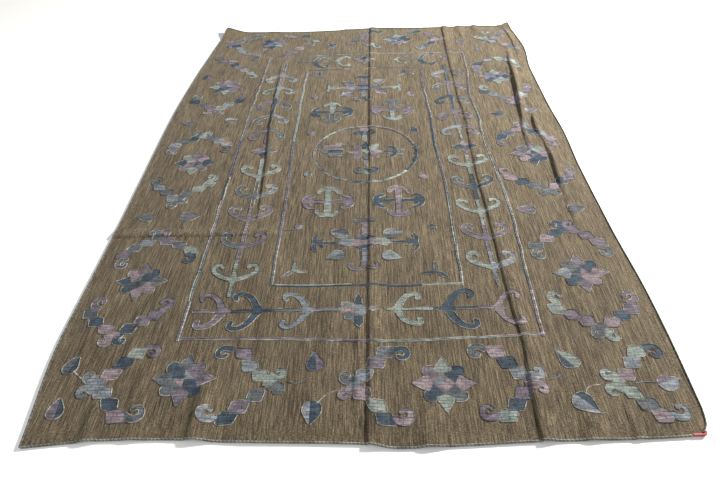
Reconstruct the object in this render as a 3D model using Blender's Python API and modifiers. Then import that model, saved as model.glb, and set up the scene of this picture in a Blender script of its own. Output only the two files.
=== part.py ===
"""Suzani kilim: a flat-woven rug with an overcast edge, laid out on a floor with its fold marks.

Lengths are metres. X runs across the rug, +Y towards its far end and +Z up. The origin is on the
floor under the middle of the rug. In the tables "along" is the distance from the near end of the
laid-out cloth and "across" is the distance from its middle line, to the right.
"""

import math
from collections import namedtuple

import bpy
import numpy as np
from mathutils import Vector

RUG_NAME = "suzani_kilim_rug"

# Driving sizes
CLOTH_THICKNESS = 0.003
CORD_RADIUS = 0.0038
WRAP_RADIUS = 0.0044
PIECE_GAP = 0.0005
WRAP_ON_END = 0.016
WRAP_ON_SIDE = 0.010

# The cloth's grid: its spacing away from the folds, the columns on a fold's flanks as shares of the
# flank's width, and the closer rows at both ends as distances from the end
COLUMN_SPACING = 0.048
ROW_SPACING = 0.076
EASY_FLANK_SHARE = 0.4
STEEP_FLANK_SHARE = 0.5
NEAR_ROWS = (0.0, 0.012, 0.045)
FAR_ROWS = (0.060, 0.022, 0.0)
HALF_WAY = 1.5
SETTLING_STEPS = 5

# The outline, as its four edges
EndPoint = namedtuple("EndPoint", "across along")
SidePoint = namedtuple("SidePoint", "along across")

NEAR_END = [
    EndPoint(-0.938, -0.014),
    EndPoint(-0.80, 0.000),
    EndPoint(-0.70, 0.007),
    EndPoint(-0.55, 0.009),
    EndPoint(-0.35, 0.000),
    EndPoint(0.00, -0.008),
    EndPoint(0.12, -0.022),
    EndPoint(0.30, -0.015),
    EndPoint(0.50, -0.005),
    EndPoint(0.78, 0.001),
    EndPoint(0.90, 0.007),
    EndPoint(0.945, 0.013),
]
FAR_END = [
    EndPoint(-0.910, 3.000),
    EndPoint(-0.86, 2.984),
    EndPoint(-0.78, 2.973),
    EndPoint(-0.60, 2.960),
    EndPoint(-0.40, 2.950),
    EndPoint(-0.20, 2.958),
    EndPoint(0.08, 2.983),
    EndPoint(0.40, 2.968),
    EndPoint(0.70, 2.972),
    EndPoint(0.90, 2.964),
    EndPoint(0.950, 2.990),
]
LEFT_SIDE = [
    SidePoint(-0.014, -0.938),
    SidePoint(0.40, -0.979),
    SidePoint(0.90, -0.976),
    SidePoint(1.80, -0.985),
    SidePoint(2.30, -0.968),
    SidePoint(2.60, -0.946),
    SidePoint(2.80, -0.930),
    SidePoint(3.000, -0.910),
]
RIGHT_SIDE = [
    SidePoint(0.013, 0.945),
    SidePoint(0.045, 0.966),
    SidePoint(0.10, 0.975),
    SidePoint(0.50, 0.984),
    SidePoint(0.90, 0.970),
    SidePoint(1.30, 0.965),
    SidePoint(1.60, 0.973),
    SidePoint(1.90, 0.962),
    SidePoint(2.30, 0.960),
    SidePoint(2.62, 0.985),
    SidePoint(2.75, 0.977),
    SidePoint(2.990, 0.950),
]

# The folds that run along the rug: each is a ridge with a steep left flank and an easy right one
Crest = namedtuple("Crest", "along across height")
LongFold = namedtuple("LongFold", "name steep easy crests")

LONG_FOLDS = [
    LongFold("left_band_fold", 0.010, 0.045, [
        Crest(0.00, -0.405, 0.000),
        Crest(0.88, -0.412, 0.000),
        Crest(1.02, -0.415, 0.004),
        Crest(1.35, -0.430, 0.007),
        Crest(1.60, -0.450, 0.007),
        Crest(2.00, -0.470, 0.005),
        Crest(2.45, -0.480, 0.002),
        Crest(2.65, -0.484, 0.000),
        Crest(2.96, -0.490, 0.000),
    ]),
    LongFold("middle_fold", 0.012, 0.060, [
        Crest(-0.02, 0.036, 0.0080),
        Crest(0.12, 0.038, 0.0070),
        Crest(0.35, 0.040, 0.0075),
        Crest(0.60, 0.041, 0.0060),
        Crest(0.95, 0.042, 0.0050),
        Crest(1.46, 0.045, 0.0055),
        Crest(2.00, 0.045, 0.0060),
        Crest(2.50, 0.048, 0.0055),
        Crest(2.98, 0.052, 0.0060),
    ]),
    LongFold("right_band_fold", 0.012, 0.055, [
        Crest(-0.01, 0.513, 0.0075),
        Crest(0.12, 0.516, 0.0070),
        Crest(0.235, 0.521, 0.0070),
        Crest(0.32, 0.530, 0.0065),
        Crest(0.40, 0.525, 0.0060),
        Crest(0.60, 0.519, 0.0060),
        Crest(1.00, 0.519, 0.0060),
        Crest(1.20, 0.514, 0.0055),
        Crest(1.56, 0.519, 0.0045),
        Crest(1.75, 0.526, 0.0045),
        Crest(2.00, 0.515, 0.0045),
        Crest(2.50, 0.516, 0.0050),
        Crest(2.97, 0.524, 0.0065),
    ]),
    LongFold("deep_fold", 0.016, 0.032, [
        Crest(0.00, 0.770, 0.004),
        Crest(0.18, 0.768, 0.000),
        Crest(1.40, 0.780, 0.000),
        Crest(1.52, 0.785, 0.005),
        Crest(1.66, 0.792, 0.006),
        Crest(1.76, 0.808, 0.010),
        Crest(1.88, 0.819, 0.014),
        Crest(2.06, 0.838, 0.016),
        Crest(2.25, 0.854, 0.013),
        Crest(2.42, 0.866, 0.009),
        Crest(2.54, 0.878, 0.005),
        Crest(2.63, 0.888, 0.000),
        Crest(2.97, 0.850, 0.000),
    ]),
    LongFold("right_edge_fold", 0.013, 0.030, [
        Crest(0.01, 0.862, 0.000),
        Crest(0.88, 0.850, 0.000),
        Crest(0.98, 0.848, 0.003),
        Crest(1.10, 0.852, 0.001),
        Crest(1.24, 0.856, 0.010),
        Crest(1.40, 0.866, 0.009),
        Crest(1.53, 0.862, 0.003),
        Crest(1.64, 0.852, 0.010),
        Crest(1.73, 0.858, 0.009),
        Crest(1.83, 0.872, 0.000),
        Crest(2.38, 0.918, 0.000),
        Crest(2.60, 0.936, 0.004),
        Crest(2.80, 0.932, 0.006),
        Crest(2.97, 0.908, 0.004),
    ]),
]

# Short ripples that die out away from the end they start at
Ripple = namedtuple("Ripple", "across width height reach")
NEAR_RIPPLES = [
    Ripple(-0.765, 0.055, 0.0070, 0.22),
    Ripple(-0.64, 0.050, 0.0035, 0.16),
    Ripple(-0.460, 0.065, 0.0100, 0.30),
    Ripple(0.200, 0.070, 0.0075, 0.26),
    Ripple(0.645, 0.055, 0.0045, 0.20),
]
FAR_RIPPLES = [
    Ripple(-0.60, 0.070, 0.0030, 0.12),
    Ripple(-0.12, 0.070, 0.0030, 0.14),
    Ripple(0.625, 0.045, 0.0060, 0.22),
    Ripple(0.725, 0.045, 0.0060, 0.15),
]

# The crease across the rug: it runs in from the left side and dies out before the middle
CrossCrease = namedtuple("CrossCrease", "along ends fading height steep easy")
CROSS_CREASE = CrossCrease(0.885, -0.14, 0.54, 0.0055, 0.014, 0.055)

# The two far corners that curl up
CurledCorner = namedtuple("CurledCorner", "across along height reach")
CURLED_CORNERS = [
    CurledCorner(-0.910, 3.000, 0.024, 0.150),
    CurledCorner(0.950, 2.990, 0.013, 0.100),
]


def smooth_line(points):
    """A curve through the points, in order, that never swings past them."""
    at = np.array([p[0] for p in points])
    value = np.array([p[1] for p in points])
    slope = np.diff(value) / np.diff(at)
    left, right = slope[:-1], slope[1:]
    same_way = left * right > 0
    inner = np.where(same_way, 2 * left * right / np.where(same_way, left + right, 1), 0)
    tangent = np.concatenate([[slope[0]], inner, [slope[-1]]])

    def curve(x):
        x = np.clip(x, at[0], at[-1])
        i = np.clip(np.searchsorted(at, x, side="right") - 1, 0, len(at) - 2)
        step = at[i + 1] - at[i]
        t = (x - at[i]) / step
        start = (1 + 2 * t) * (1 - t) ** 2 * value[i] + t * (1 - t) ** 2 * step * tangent[i]
        end = t * t * (3 - 2 * t) * value[i + 1] - t * t * (1 - t) * step * tangent[i + 1]
        return start + end

    return curve


near_end = smooth_line(NEAR_END)
far_end = smooth_line(FAR_END)
left_side = smooth_line(LEFT_SIDE)
right_side = smooth_line(RIGHT_SIDE)
crest_lines = [smooth_line([(c.along, c.across) for c in fold.crests]) for fold in LONG_FOLDS]
crest_heights = [smooth_line([(c.along, c.height) for c in fold.crests]) for fold in LONG_FOLDS]

CLOTH_LENGTH = far_end(0.0) - near_end(0.0)
MIDDLE_ALONG = (min(p.along for p in NEAR_END) + max(p.along for p in FAR_END)) / 2


def swell(t):
    """0 at t = 0 and below, 1 at t = 1 and above, with soft ends."""
    t = np.clip(t, 0, 1)
    return t * t * (3 - 2 * t)


def ridge(distance, steep, easy):
    """A ridge's share of its height at a signed distance from its crest."""
    return swell(np.where(distance < 0, 1 + distance / steep, 1 - distance / easy))


def floor_height(across, along):
    """How far the cloth's underside stands off the floor."""
    lifts = []
    for fold, line, height in zip(LONG_FOLDS, crest_lines, crest_heights):
        lifts.append(height(along) * ridge(across - line(along), fold.steep, fold.easy))
    for ripple in NEAR_RIPPLES:
        fade = swell(1 - (along - near_end(across)) / ripple.reach)
        lifts.append(ripple.height * fade * swell(1 - abs(across - ripple.across) / ripple.width))
    for ripple in FAR_RIPPLES:
        fade = swell(1 - (far_end(across) - along) / ripple.reach)
        lifts.append(ripple.height * fade * swell(1 - abs(across - ripple.across) / ripple.width))
    crease = CROSS_CREASE
    fade = swell((crease.ends - across) / crease.fading)
    lifts.append(crease.height * fade * ridge(along - crease.along, crease.steep, crease.easy))
    for corner in CURLED_CORNERS:
        away = math.hypot(across - corner.across, along - corner.along)
        lifts.append(corner.height * swell(1 - away / corner.reach))
    return float(max(lifts))


def column_lines():
    """The grid's columns, each a function of the distance along: they follow the sides and folds."""
    lines = [left_side, *crest_lines, right_side]
    steep = [0.0, *[fold.steep for fold in LONG_FOLDS], 0.0]
    easy = [0.0, *[fold.easy for fold in LONG_FOLDS], 0.0]
    columns = []

    def between(a, b, shift_a, shift_b, share):
        return lambda along: (a(along) + shift_a) * (1 - share) + (b(along) - shift_b) * share

    for i, (a, b) in enumerate(zip(lines, lines[1:])):
        clear = b(HALF_WAY) - a(HALF_WAY) - easy[i] - steep[i + 1]
        count = max(1, round(clear / COLUMN_SPACING))
        if easy[i]:
            columns.append(between(a, a, EASY_FLANK_SHARE * easy[i], 0, 0))
        for k in range(count + 1):
            if k or easy[i] or i == 0:
                columns.append(between(a, b, easy[i], steep[i + 1], k / count))
        if steep[i + 1]:
            columns.append(between(b, b, -STEEP_FLANK_SHARE * steep[i + 1], 0, 0))
            columns.append(b)
    return columns


def row_shares():
    """The grid's rows, as shares of the cloth's length, closer at the ends and the cross crease."""
    crease = CROSS_CREASE
    close = [
        *NEAR_ROWS,
        crease.along - crease.steep,
        crease.along,
        crease.along + crease.easy * EASY_FLANK_SHARE,
        crease.along + crease.easy,
        *[CLOTH_LENGTH - row for row in FAR_ROWS],
    ]
    rows = []
    for start, end in zip(close, close[1:]):
        count = max(1, round((end - start) / ROW_SPACING))
        rows += [start + (end - start) * k / count for k in range(count)]
    rows.append(CLOTH_LENGTH)
    return [row / CLOTH_LENGTH for row in rows]


def grid_place(column, share):
    """Where a column and a row cross, as (across, along)."""
    along = share * CLOTH_LENGTH
    for _ in range(SETTLING_STEPS):
        across = float(column(along))
        along = float(near_end(across) * (1 - share) + far_end(across) * share)
    return across, along


def in_frame(across, along, height):
    return Vector((across, along - MIDDLE_ALONG, height))


def plain_material(name, color, roughness):
    material = bpy.data.materials.new(name)
    material.use_nodes = True
    shader = material.node_tree.nodes["Principled BSDF"]
    shader.inputs["Base Color"].default_value = (*color, 1)
    shader.inputs["Roughness"].default_value = roughness
    shader.inputs["Metallic"].default_value = 0.0
    material.diffuse_color = (*color, 1)
    return material


def clear_scene():
    for thing in list(bpy.data.objects):
        bpy.data.objects.remove(thing, do_unlink=True)


def rug_collection():
    collection = bpy.data.collections.new(RUG_NAME)
    bpy.context.scene.collection.children.link(collection)
    return collection


def kilim_cloth(collection, columns, shares):
    """The woven cloth: a grid laid on its folds, thickened upwards."""
    bpy.ops.mesh.primitive_grid_add(x_subdivisions=len(columns) - 1, y_subdivisions=len(shares) - 1, size=2)
    cloth = bpy.context.object
    cloth.name = "kilim_cloth"
    cloth.data.name = "kilim_cloth"
    for vertex in cloth.data.vertices:
        column = columns[round((vertex.co.x + 1) / 2 * (len(columns) - 1))]
        share = shares[round((vertex.co.y + 1) / 2 * (len(shares) - 1))]
        across, along = grid_place(column, share)
        vertex.co = in_frame(across, along, floor_height(across, along))
    thicken = cloth.modifiers.new("cloth thickness", "SOLIDIFY")
    thicken.thickness = CLOTH_THICKNESS
    thicken.offset = 1.0
    cloth.data.materials.append(plain_material("tan_flatweave", (0.24, 0.18, 0.11), 0.95))
    for other in list(cloth.users_collection):
        other.objects.unlink(cloth)
    collection.objects.link(cloth)


def rim(columns, shares):
    """The cloth's edge on each side, as (across, along) places in the grid's own order."""
    return {
        "near": [grid_place(column, 0.0) for column in columns],
        "far": [grid_place(column, 1.0) for column in columns],
        "left": [grid_place(columns[0], share) for share in shares],
        "right": [grid_place(columns[-1], share) for share in shares],
    }


def beside(edge, outward, radius):
    """The middle line of a cord that lies against an edge, one point for each of the edge's points."""
    points = [Vector(p) for p in edge]
    line = []
    for i, point in enumerate(points):
        before = points[max(i - 1, 0)]
        after = points[min(i + 1, len(points) - 1)]
        run = (after - before).normalized()
        side = Vector((run.y, -run.x))
        if side.dot(Vector(outward)) < 0:
            side = -side
        place = point + side * (radius + PIECE_GAP)
        line.append(in_frame(place.x, place.y, floor_height(*point) + radius))
    return line


def cut_back(line, from_start, from_end):
    """The line without a length at its start and at its end; a negative length makes it longer."""
    for length in (from_start, from_end):
        line = list(line)
        while length > 0 and (line[1] - line[0]).length <= length:
            length -= (line[1] - line[0]).length
            line.pop(0)
        if length:
            line[0] = line[0] + (line[1] - line[0]).normalized() * length
        line.reverse()
    return line


def cord(collection, name, line, radius, material):
    """A round cord along a line, with closed ends."""
    curve = bpy.data.curves.new(name, "CURVE")
    curve.dimensions = "3D"
    curve.bevel_depth = radius
    curve.bevel_resolution = 2
    curve.use_fill_caps = True
    spline = curve.splines.new("POLY")
    spline.points.add(len(line) - 1)
    for point, place in zip(spline.points, line):
        point.co = (*place, 1)
    curve.materials.append(material)
    collection.objects.link(bpy.data.objects.new(name, curve))


def edge_cords(collection, edges):
    """The overcast edging: side cords run past the corners, and end cords stop against them."""
    thread = plain_material("edging_thread", (0.33, 0.35, 0.30), 0.9)
    past_corner = 2 * CORD_RADIUS + PIECE_GAP
    near = beside(edges["near"], (0, -1), CORD_RADIUS)
    far = beside(edges["far"], (0, 1), CORD_RADIUS)
    left = beside(edges["left"], (-1, 0), CORD_RADIUS)
    right = beside(edges["right"], (1, 0), CORD_RADIUS)
    cord(collection, "near_end_cord", cut_back(near, 0, WRAP_ON_END + PIECE_GAP), CORD_RADIUS, thread)
    cord(collection, "far_end_cord", far, CORD_RADIUS, thread)
    cord(collection, "left_side_cord", cut_back(left, -past_corner, -past_corner), CORD_RADIUS, thread)
    cord(collection, "right_side_cord", cut_back(right, WRAP_ON_SIDE + PIECE_GAP, -past_corner),
         CORD_RADIUS, thread)


def corner_whipping(collection, edges):
    """The red thread wound round the edging at the near right corner."""
    near = beside(edges["near"], (0, -1), WRAP_RADIUS)
    right = beside(edges["right"], (1, 0), WRAP_RADIUS)
    on_end = near[-1] + (near[-2] - near[-1]).normalized() * WRAP_ON_END
    on_side = right[0] + (right[1] - right[0]).normalized() * WRAP_ON_SIDE
    corner = in_frame(*edges["near"][-1], 0)
    middle = (near[-1] + right[0]) / 2 - corner
    middle.z = 0
    out = corner + middle.normalized() * (WRAP_RADIUS + 2 * PIECE_GAP)
    out.z = (near[-1].z + right[0].z) / 2
    thread = plain_material("red_corner_thread", (0.55, 0.10, 0.10), 0.85)
    cord(collection, "corner_whipping", [on_end, near[-1], out, right[0], on_side], WRAP_RADIUS, thread)


def main():
    clear_scene()
    collection = rug_collection()
    columns = column_lines()
    shares = row_shares()
    edges = rim(columns, shares)
    kilim_cloth(collection, columns, shares)
    edge_cords(collection, edges)
    corner_whipping(collection, edges)


main()
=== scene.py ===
"""Suzani kilim rug, the visual model: woven ground, stitched embroidery and overcast edge.

Lengths are metres unless a table says millimetres. "across" runs from the rug's middle line to its
right and "along" from its near end to its far end, as in the part's source, whose tables for the
outline and the folds are repeated here.
"""

import math
from collections import defaultdict, namedtuple

import bpy
import numpy as np
from mathutils import Matrix, Vector


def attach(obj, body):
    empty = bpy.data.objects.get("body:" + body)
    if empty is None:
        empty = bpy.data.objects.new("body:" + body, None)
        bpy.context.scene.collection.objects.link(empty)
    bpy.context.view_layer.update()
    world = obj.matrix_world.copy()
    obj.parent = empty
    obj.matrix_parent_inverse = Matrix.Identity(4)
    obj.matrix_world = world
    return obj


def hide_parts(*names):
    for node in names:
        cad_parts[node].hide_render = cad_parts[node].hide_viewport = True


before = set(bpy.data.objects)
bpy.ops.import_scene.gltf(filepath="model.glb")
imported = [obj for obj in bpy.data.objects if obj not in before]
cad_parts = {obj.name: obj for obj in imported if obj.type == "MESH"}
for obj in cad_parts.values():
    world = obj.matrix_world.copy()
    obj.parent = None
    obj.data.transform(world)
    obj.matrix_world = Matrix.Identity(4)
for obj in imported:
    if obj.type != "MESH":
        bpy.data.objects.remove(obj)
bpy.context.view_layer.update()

MM = 0.001
CLOTH_THICKNESS = 0.003
MIDDLE_ALONG = 1.489
# The distance along at which the columns between two folds are counted
HALF_WAY = 1.5
# A grid place's row and column depend on each other, so it is settled in a few steps
SETTLING_STEPS = 5

# The outline, as its four edges: (across, along) for the ends and (along, across) for the sides
NEAR_END = [
    (-0.938, -0.014), (-0.80, 0.000), (-0.70, 0.007), (-0.55, 0.009), (-0.35, 0.000), (0.00, -0.008),
    (0.12, -0.022), (0.30, -0.015), (0.50, -0.005), (0.78, 0.001), (0.90, 0.007), (0.945, 0.013),
]
FAR_END = [
    (-0.910, 3.000), (-0.86, 2.984), (-0.78, 2.973), (-0.60, 2.960), (-0.40, 2.950), (-0.20, 2.958),
    (0.08, 2.983), (0.40, 2.968), (0.70, 2.972), (0.90, 2.964), (0.950, 2.990),
]
LEFT_SIDE = [
    (-0.014, -0.938), (0.40, -0.979), (0.90, -0.976), (1.80, -0.985), (2.30, -0.968), (2.60, -0.946),
    (2.80, -0.930), (3.000, -0.910),
]
RIGHT_SIDE = [
    (0.013, 0.945), (0.045, 0.966), (0.10, 0.975), (0.50, 0.984), (0.90, 0.970), (1.30, 0.965),
    (1.60, 0.973), (1.90, 0.962), (2.30, 0.960), (2.62, 0.985), (2.75, 0.977), (2.990, 0.950),
]

# The folds along the rug, each with its steep and easy flank and its crest as (along, across, height)
LongFold = namedtuple("LongFold", "name steep easy crests")
LONG_FOLDS = [
    LongFold("left_band_fold", 0.010, 0.045, [
        (0.00, -0.405, 0.000), (0.88, -0.412, 0.000), (1.02, -0.415, 0.004), (1.35, -0.430, 0.007),
        (1.60, -0.450, 0.007), (2.00, -0.470, 0.005), (2.45, -0.480, 0.002), (2.65, -0.484, 0.000),
        (2.96, -0.490, 0.000),
    ]),
    LongFold("middle_fold", 0.012, 0.060, [
        (-0.02, 0.036, 0.0080), (0.12, 0.038, 0.0070), (0.35, 0.040, 0.0075), (0.60, 0.041, 0.0060),
        (0.95, 0.042, 0.0050), (1.46, 0.045, 0.0055), (2.00, 0.045, 0.0060), (2.50, 0.048, 0.0055),
        (2.98, 0.052, 0.0060),
    ]),
    LongFold("right_band_fold", 0.012, 0.055, [
        (-0.01, 0.513, 0.0075), (0.12, 0.516, 0.0070), (0.235, 0.521, 0.0070), (0.32, 0.530, 0.0065),
        (0.40, 0.525, 0.0060), (0.60, 0.519, 0.0060), (1.00, 0.519, 0.0060), (1.20, 0.514, 0.0055),
        (1.56, 0.519, 0.0045), (1.75, 0.526, 0.0045), (2.00, 0.515, 0.0045), (2.50, 0.516, 0.0050),
        (2.97, 0.524, 0.0065),
    ]),
    LongFold("deep_fold", 0.016, 0.032, [
        (0.00, 0.770, 0.004), (0.18, 0.768, 0.000), (1.40, 0.780, 0.000), (1.52, 0.785, 0.005),
        (1.66, 0.792, 0.006), (1.76, 0.808, 0.010), (1.88, 0.819, 0.014), (2.06, 0.838, 0.016),
        (2.25, 0.854, 0.013), (2.42, 0.866, 0.009), (2.54, 0.878, 0.005), (2.63, 0.888, 0.000),
        (2.97, 0.850, 0.000),
    ]),
    LongFold("right_edge_fold", 0.013, 0.030, [
        (0.01, 0.862, 0.000), (0.88, 0.850, 0.000), (0.98, 0.848, 0.003), (1.10, 0.852, 0.001),
        (1.24, 0.856, 0.010), (1.40, 0.866, 0.009), (1.53, 0.862, 0.003), (1.64, 0.852, 0.010),
        (1.73, 0.858, 0.009), (1.83, 0.872, 0.000), (2.38, 0.918, 0.000), (2.60, 0.936, 0.004),
        (2.80, 0.932, 0.006), (2.97, 0.908, 0.004),
    ]),
]

# Ripples that die out away from the end they start at: across, width, height, reach
NEAR_RIPPLES = [
    (-0.765, 0.055, 0.0070, 0.22), (-0.64, 0.050, 0.0035, 0.16), (-0.460, 0.065, 0.0100, 0.30),
    (0.200, 0.070, 0.0075, 0.26), (0.645, 0.055, 0.0045, 0.20),
]
FAR_RIPPLES = [
    (-0.60, 0.070, 0.0030, 0.12), (-0.12, 0.070, 0.0030, 0.14), (0.625, 0.045, 0.0060, 0.22),
    (0.725, 0.045, 0.0060, 0.15),
]
# A ripple's left flank is steeper than its right one, by this share
STEEP_SHARE = 0.55
CrossCrease = namedtuple("CrossCrease", "along ends fading height steep easy")
CROSS_CREASE = CrossCrease(0.885, -0.14, 0.54, 0.0055, 0.014, 0.055)
# The two far corners that curl up: across, along, height, reach
CURLED_CORNERS = [(-0.910, 3.000, 0.024, 0.150), (0.950, 2.990, 0.013, 0.100)]

# The cloth's own unevenness between the folds, with a seed for each: cell across, cell along, height
RUMPLES = [
    (11, 0.19, 0.34, 0.0022),
    (12, 0.075, 0.170, 0.0045),
    (13, 0.034, 0.240, 0.0022),
]
# Small creases that only the visual model has: where each starts and ends, and its height
FINE_CREASES = [
    ((-0.452, 0.200), (-0.470, 0.000), 0.0025), ((-0.775, 0.120), (-0.752, 0.000), 0.0025),
    ((0.440, 0.080), (0.437, 0.000), 0.0030), ((0.812, 0.110), (0.806, 0.000), 0.0030),
    ((0.611, 2.955), (0.637, 2.780), 0.0042), ((0.725, 2.950), (0.771, 2.770), 0.0042),
    ((0.722, 2.410), (0.715, 2.280), 0.0036), ((0.834, 2.370), (0.827, 2.240), 0.0036),
    ((-0.352, 1.300), (-0.340, 1.060), 0.0030), ((-0.372, 2.220), (-0.366, 1.960), 0.0026),
    ((0.300, 2.700), (0.292, 2.420), 0.0024), ((-0.640, 0.420), (-0.655, 0.190), 0.0028),
    ((0.001, 0.480), (-0.003, 0.020), 0.0036), ((-0.730, 0.480), (-0.742, 0.250), 0.0030),
    ((-0.110, 0.440), (-0.104, 0.160), 0.0024),
]
# The far end lies flatter, by this share for each metre
CALMER_FAR = 0.19
# At the edges only this share of the rumple is left, and it grows back over this distance
EDGE_LIFT = 0.25
EDGE_REACH = 0.09
# A small crease's flanks, how quickly it dies out, and how far past its ends it does so
CREASE_STEEP = 0.016
CREASE_EASY = 0.034
CREASE_FADE = 1.5
CREASE_OVERRUN = 1.15
# The cells of soft_noise repeat after this many
NOISE_CELLS = 128
# The cloth's slope is read this far to each side
SLOPE_REACH = 0.003


def smooth_line(points):
    """A curve through the points, in order, that never swings past them."""
    at = np.array([p[0] for p in points])
    value = np.array([p[1] for p in points])
    slope = np.diff(value) / np.diff(at)
    left, right = slope[:-1], slope[1:]
    same_way = left * right > 0
    inner = np.where(same_way, 2 * left * right / np.where(same_way, left + right, 1), 0)
    tangent = np.concatenate([[slope[0]], inner, [slope[-1]]])

    def curve(x):
        x = np.clip(x, at[0], at[-1])
        i = np.clip(np.searchsorted(at, x, side="right") - 1, 0, len(at) - 2)
        step = at[i + 1] - at[i]
        t = (x - at[i]) / step
        start = (1 + 2 * t) * (1 - t) ** 2 * value[i] + t * (1 - t) ** 2 * step * tangent[i]
        end = t * t * (3 - 2 * t) * value[i + 1] - t * t * (1 - t) * step * tangent[i + 1]
        return start + end

    return curve


near_end = smooth_line(NEAR_END)
far_end = smooth_line(FAR_END)
left_side = smooth_line(LEFT_SIDE)
right_side = smooth_line(RIGHT_SIDE)
crest_lines = [smooth_line([(c[0], c[1]) for c in fold.crests]) for fold in LONG_FOLDS]
crest_heights = [smooth_line([(c[0], c[2]) for c in fold.crests]) for fold in LONG_FOLDS]
CLOTH_LENGTH = float(far_end(0.0) - near_end(0.0))


def swell(t):
    """0 at t = 0 and below, 1 at t = 1 and above, with soft ends."""
    t = np.clip(t, 0, 1)
    return t * t * (3 - 2 * t)


def ridge(distance, steep, easy):
    """A ridge's share of its height at a signed distance from its crest."""
    return swell(np.where(distance < 0, 1 + distance / steep, 1 - distance / easy))


def floor_height(across, along):
    """How far the cloth's underside stands off the floor, from the folds alone."""
    lifts = [np.zeros_like(across)]
    for fold, line, height in zip(LONG_FOLDS, crest_lines, crest_heights):
        lifts.append(height(along) * ridge(across - line(along), fold.steep, fold.easy))
    from_near, from_far = along - near_end(across), far_end(across) - along
    for ripples, distance in ((NEAR_RIPPLES, from_near), (FAR_RIPPLES, from_far)):
        for at, width, height, reach in ripples:
            fade = swell(1 - distance / reach)
            lifts.append(height * fade * ridge(across - at, STEEP_SHARE * width, width))
    crease = CROSS_CREASE
    fade = swell((crease.ends - across) / crease.fading)
    lifts.append(crease.height * fade * ridge(along - crease.along, crease.steep, crease.easy))
    for at, end, height, reach in CURLED_CORNERS:
        away = np.hypot(across - at, along - end)
        lifts.append(height * swell(1 - away / reach))
    return np.maximum.reduce(lifts)


def soft_noise(seed, x, y):
    """Smooth values from 0 to 1, one random value for each whole step of x and y."""
    table = np.random.default_rng(seed).random((NOISE_CELLS, NOISE_CELLS))
    i, j = np.floor(x).astype(int), np.floor(y).astype(int)
    u, v = swell(x - i), swell(y - j)
    i, j, after_i, after_j = (value % NOISE_CELLS for value in (i, j, i + 1, j + 1))
    near = table[i, j] * (1 - u) + table[after_i, j] * u
    far = table[i, after_j] * (1 - u) + table[after_i, after_j] * u
    return near * (1 - v) + far * v


def fine_creases(across, along):
    """The small creases' lift: sharp on their left, easy on their right, dying out at both ends."""
    lift = np.zeros_like(across)
    for (from_across, from_along), (to_across, to_along), height in FINE_CREASES:
        share = (along - from_along) / (to_along - from_along)
        aside = across - from_across - share * (to_across - from_across)
        fade = swell(CREASE_FADE * (CREASE_OVERRUN - abs(2 * share - 1)))
        lift = np.maximum(lift, height * fade * ridge(aside, CREASE_STEEP, CREASE_EASY))
    return lift


def underside(across, along):
    """The underside with its folds, its small creases and its slight rumple, which only ever lift it."""
    height = floor_height(across, along) + fine_creases(across, along)
    inside = np.minimum.reduce([
        along - near_end(across), far_end(across) - along,
        across - left_side(along), right_side(along) - across,
    ])
    loose = EDGE_LIFT + (1 - EDGE_LIFT) * swell(inside / EDGE_REACH)
    loose = loose * (1 - CALMER_FAR * along)
    for seed, cell_across, cell_along, rise in RUMPLES:
        height = height + loose * rise * soft_noise(seed, across / cell_across, along / cell_along)
    return height


def lay(across, along, lift):
    """Places on the laid-out cloth, in the part's frame; lift 0 is the cloth's upper face."""
    reach = SLOPE_REACH
    slope_across = (underside(across + reach, along) - underside(across - reach, along)) / (2 * reach)
    slope_along = (underside(across, along + reach) - underside(across, along - reach)) / (2 * reach)
    out = (lift + CLOTH_THICKNESS) / np.sqrt(1 + slope_across**2 + slope_along**2)
    height = underside(across, along) + out
    return np.column_stack([
        across - slope_across * out, along - MIDDLE_ALONG - slope_along * out, height,
    ])


# Yarns are sewn side by side, three to a row, in stitches that are offset from row to row
YARNS_IN_ROW = 3
YARN_PITCH = 11.0 * MM / YARNS_IN_ROW
YARN_HALF = 1.85 * MM
YARN_HEIGHT = 1.3 * MM
STITCH_LENGTH = 12.0 * MM
# The yarns of a row are pulled together by this much
BUNDLE_PULL = 0.22 * MM
# How far the hand strays along a stitch and from the row
STITCH_STRAY = 0.8 * MM
ROW_STRAY = 0.25 * MM
# A yarn shorter than this isn't sewn, and no pinch comes closer than this to a yarn's end
SHORTEST_YARN = 2.5 * MM
END_MARGIN = 1.2 * MM
# A yarn's rise at its ends, and at the pinch, the near and the far shoulder of a stitch
END_RISE = 0.55
STITCH_RISES = (0.5, 1.0, 0.95)
# The gap round a stitch is under 1 mm; its painted shade line is drawn wider so that it shows
GAP_SHADE_WIDTH = 1.7 * MM


def srgb(code):
    """A hex colour as the linear values that a shader takes."""
    parts = [int(code[i : i + 2], 16) / 255 for i in (1, 3, 5)]
    return tuple(p / 12.92 if p <= 0.04045 else ((p + 0.055) / 1.055) ** 2.4 for p in parts) + (1.0,)


def add(tree, kind, feeds=None, stops=None, **settings):
    """Adds a node with its settings, a ramp's stops, and its inputs as values or other nodes' outputs."""
    made = tree.nodes.new("ShaderNode" + kind)
    for name, value in settings.items():
        setattr(made, name, value)
    for name, value in (feeds or {}).items():
        if isinstance(value, bpy.types.NodeSocket):
            tree.links.new(value, made.inputs[name])
        else:
            made.inputs[name].default_value = value
    for i, (place, code) in enumerate(stops or []):
        elements = made.color_ramp.elements
        element = elements[i] if i < 2 else elements.new(place)
        element.position = place
        element.color = srgb(code)
    return made


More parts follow.
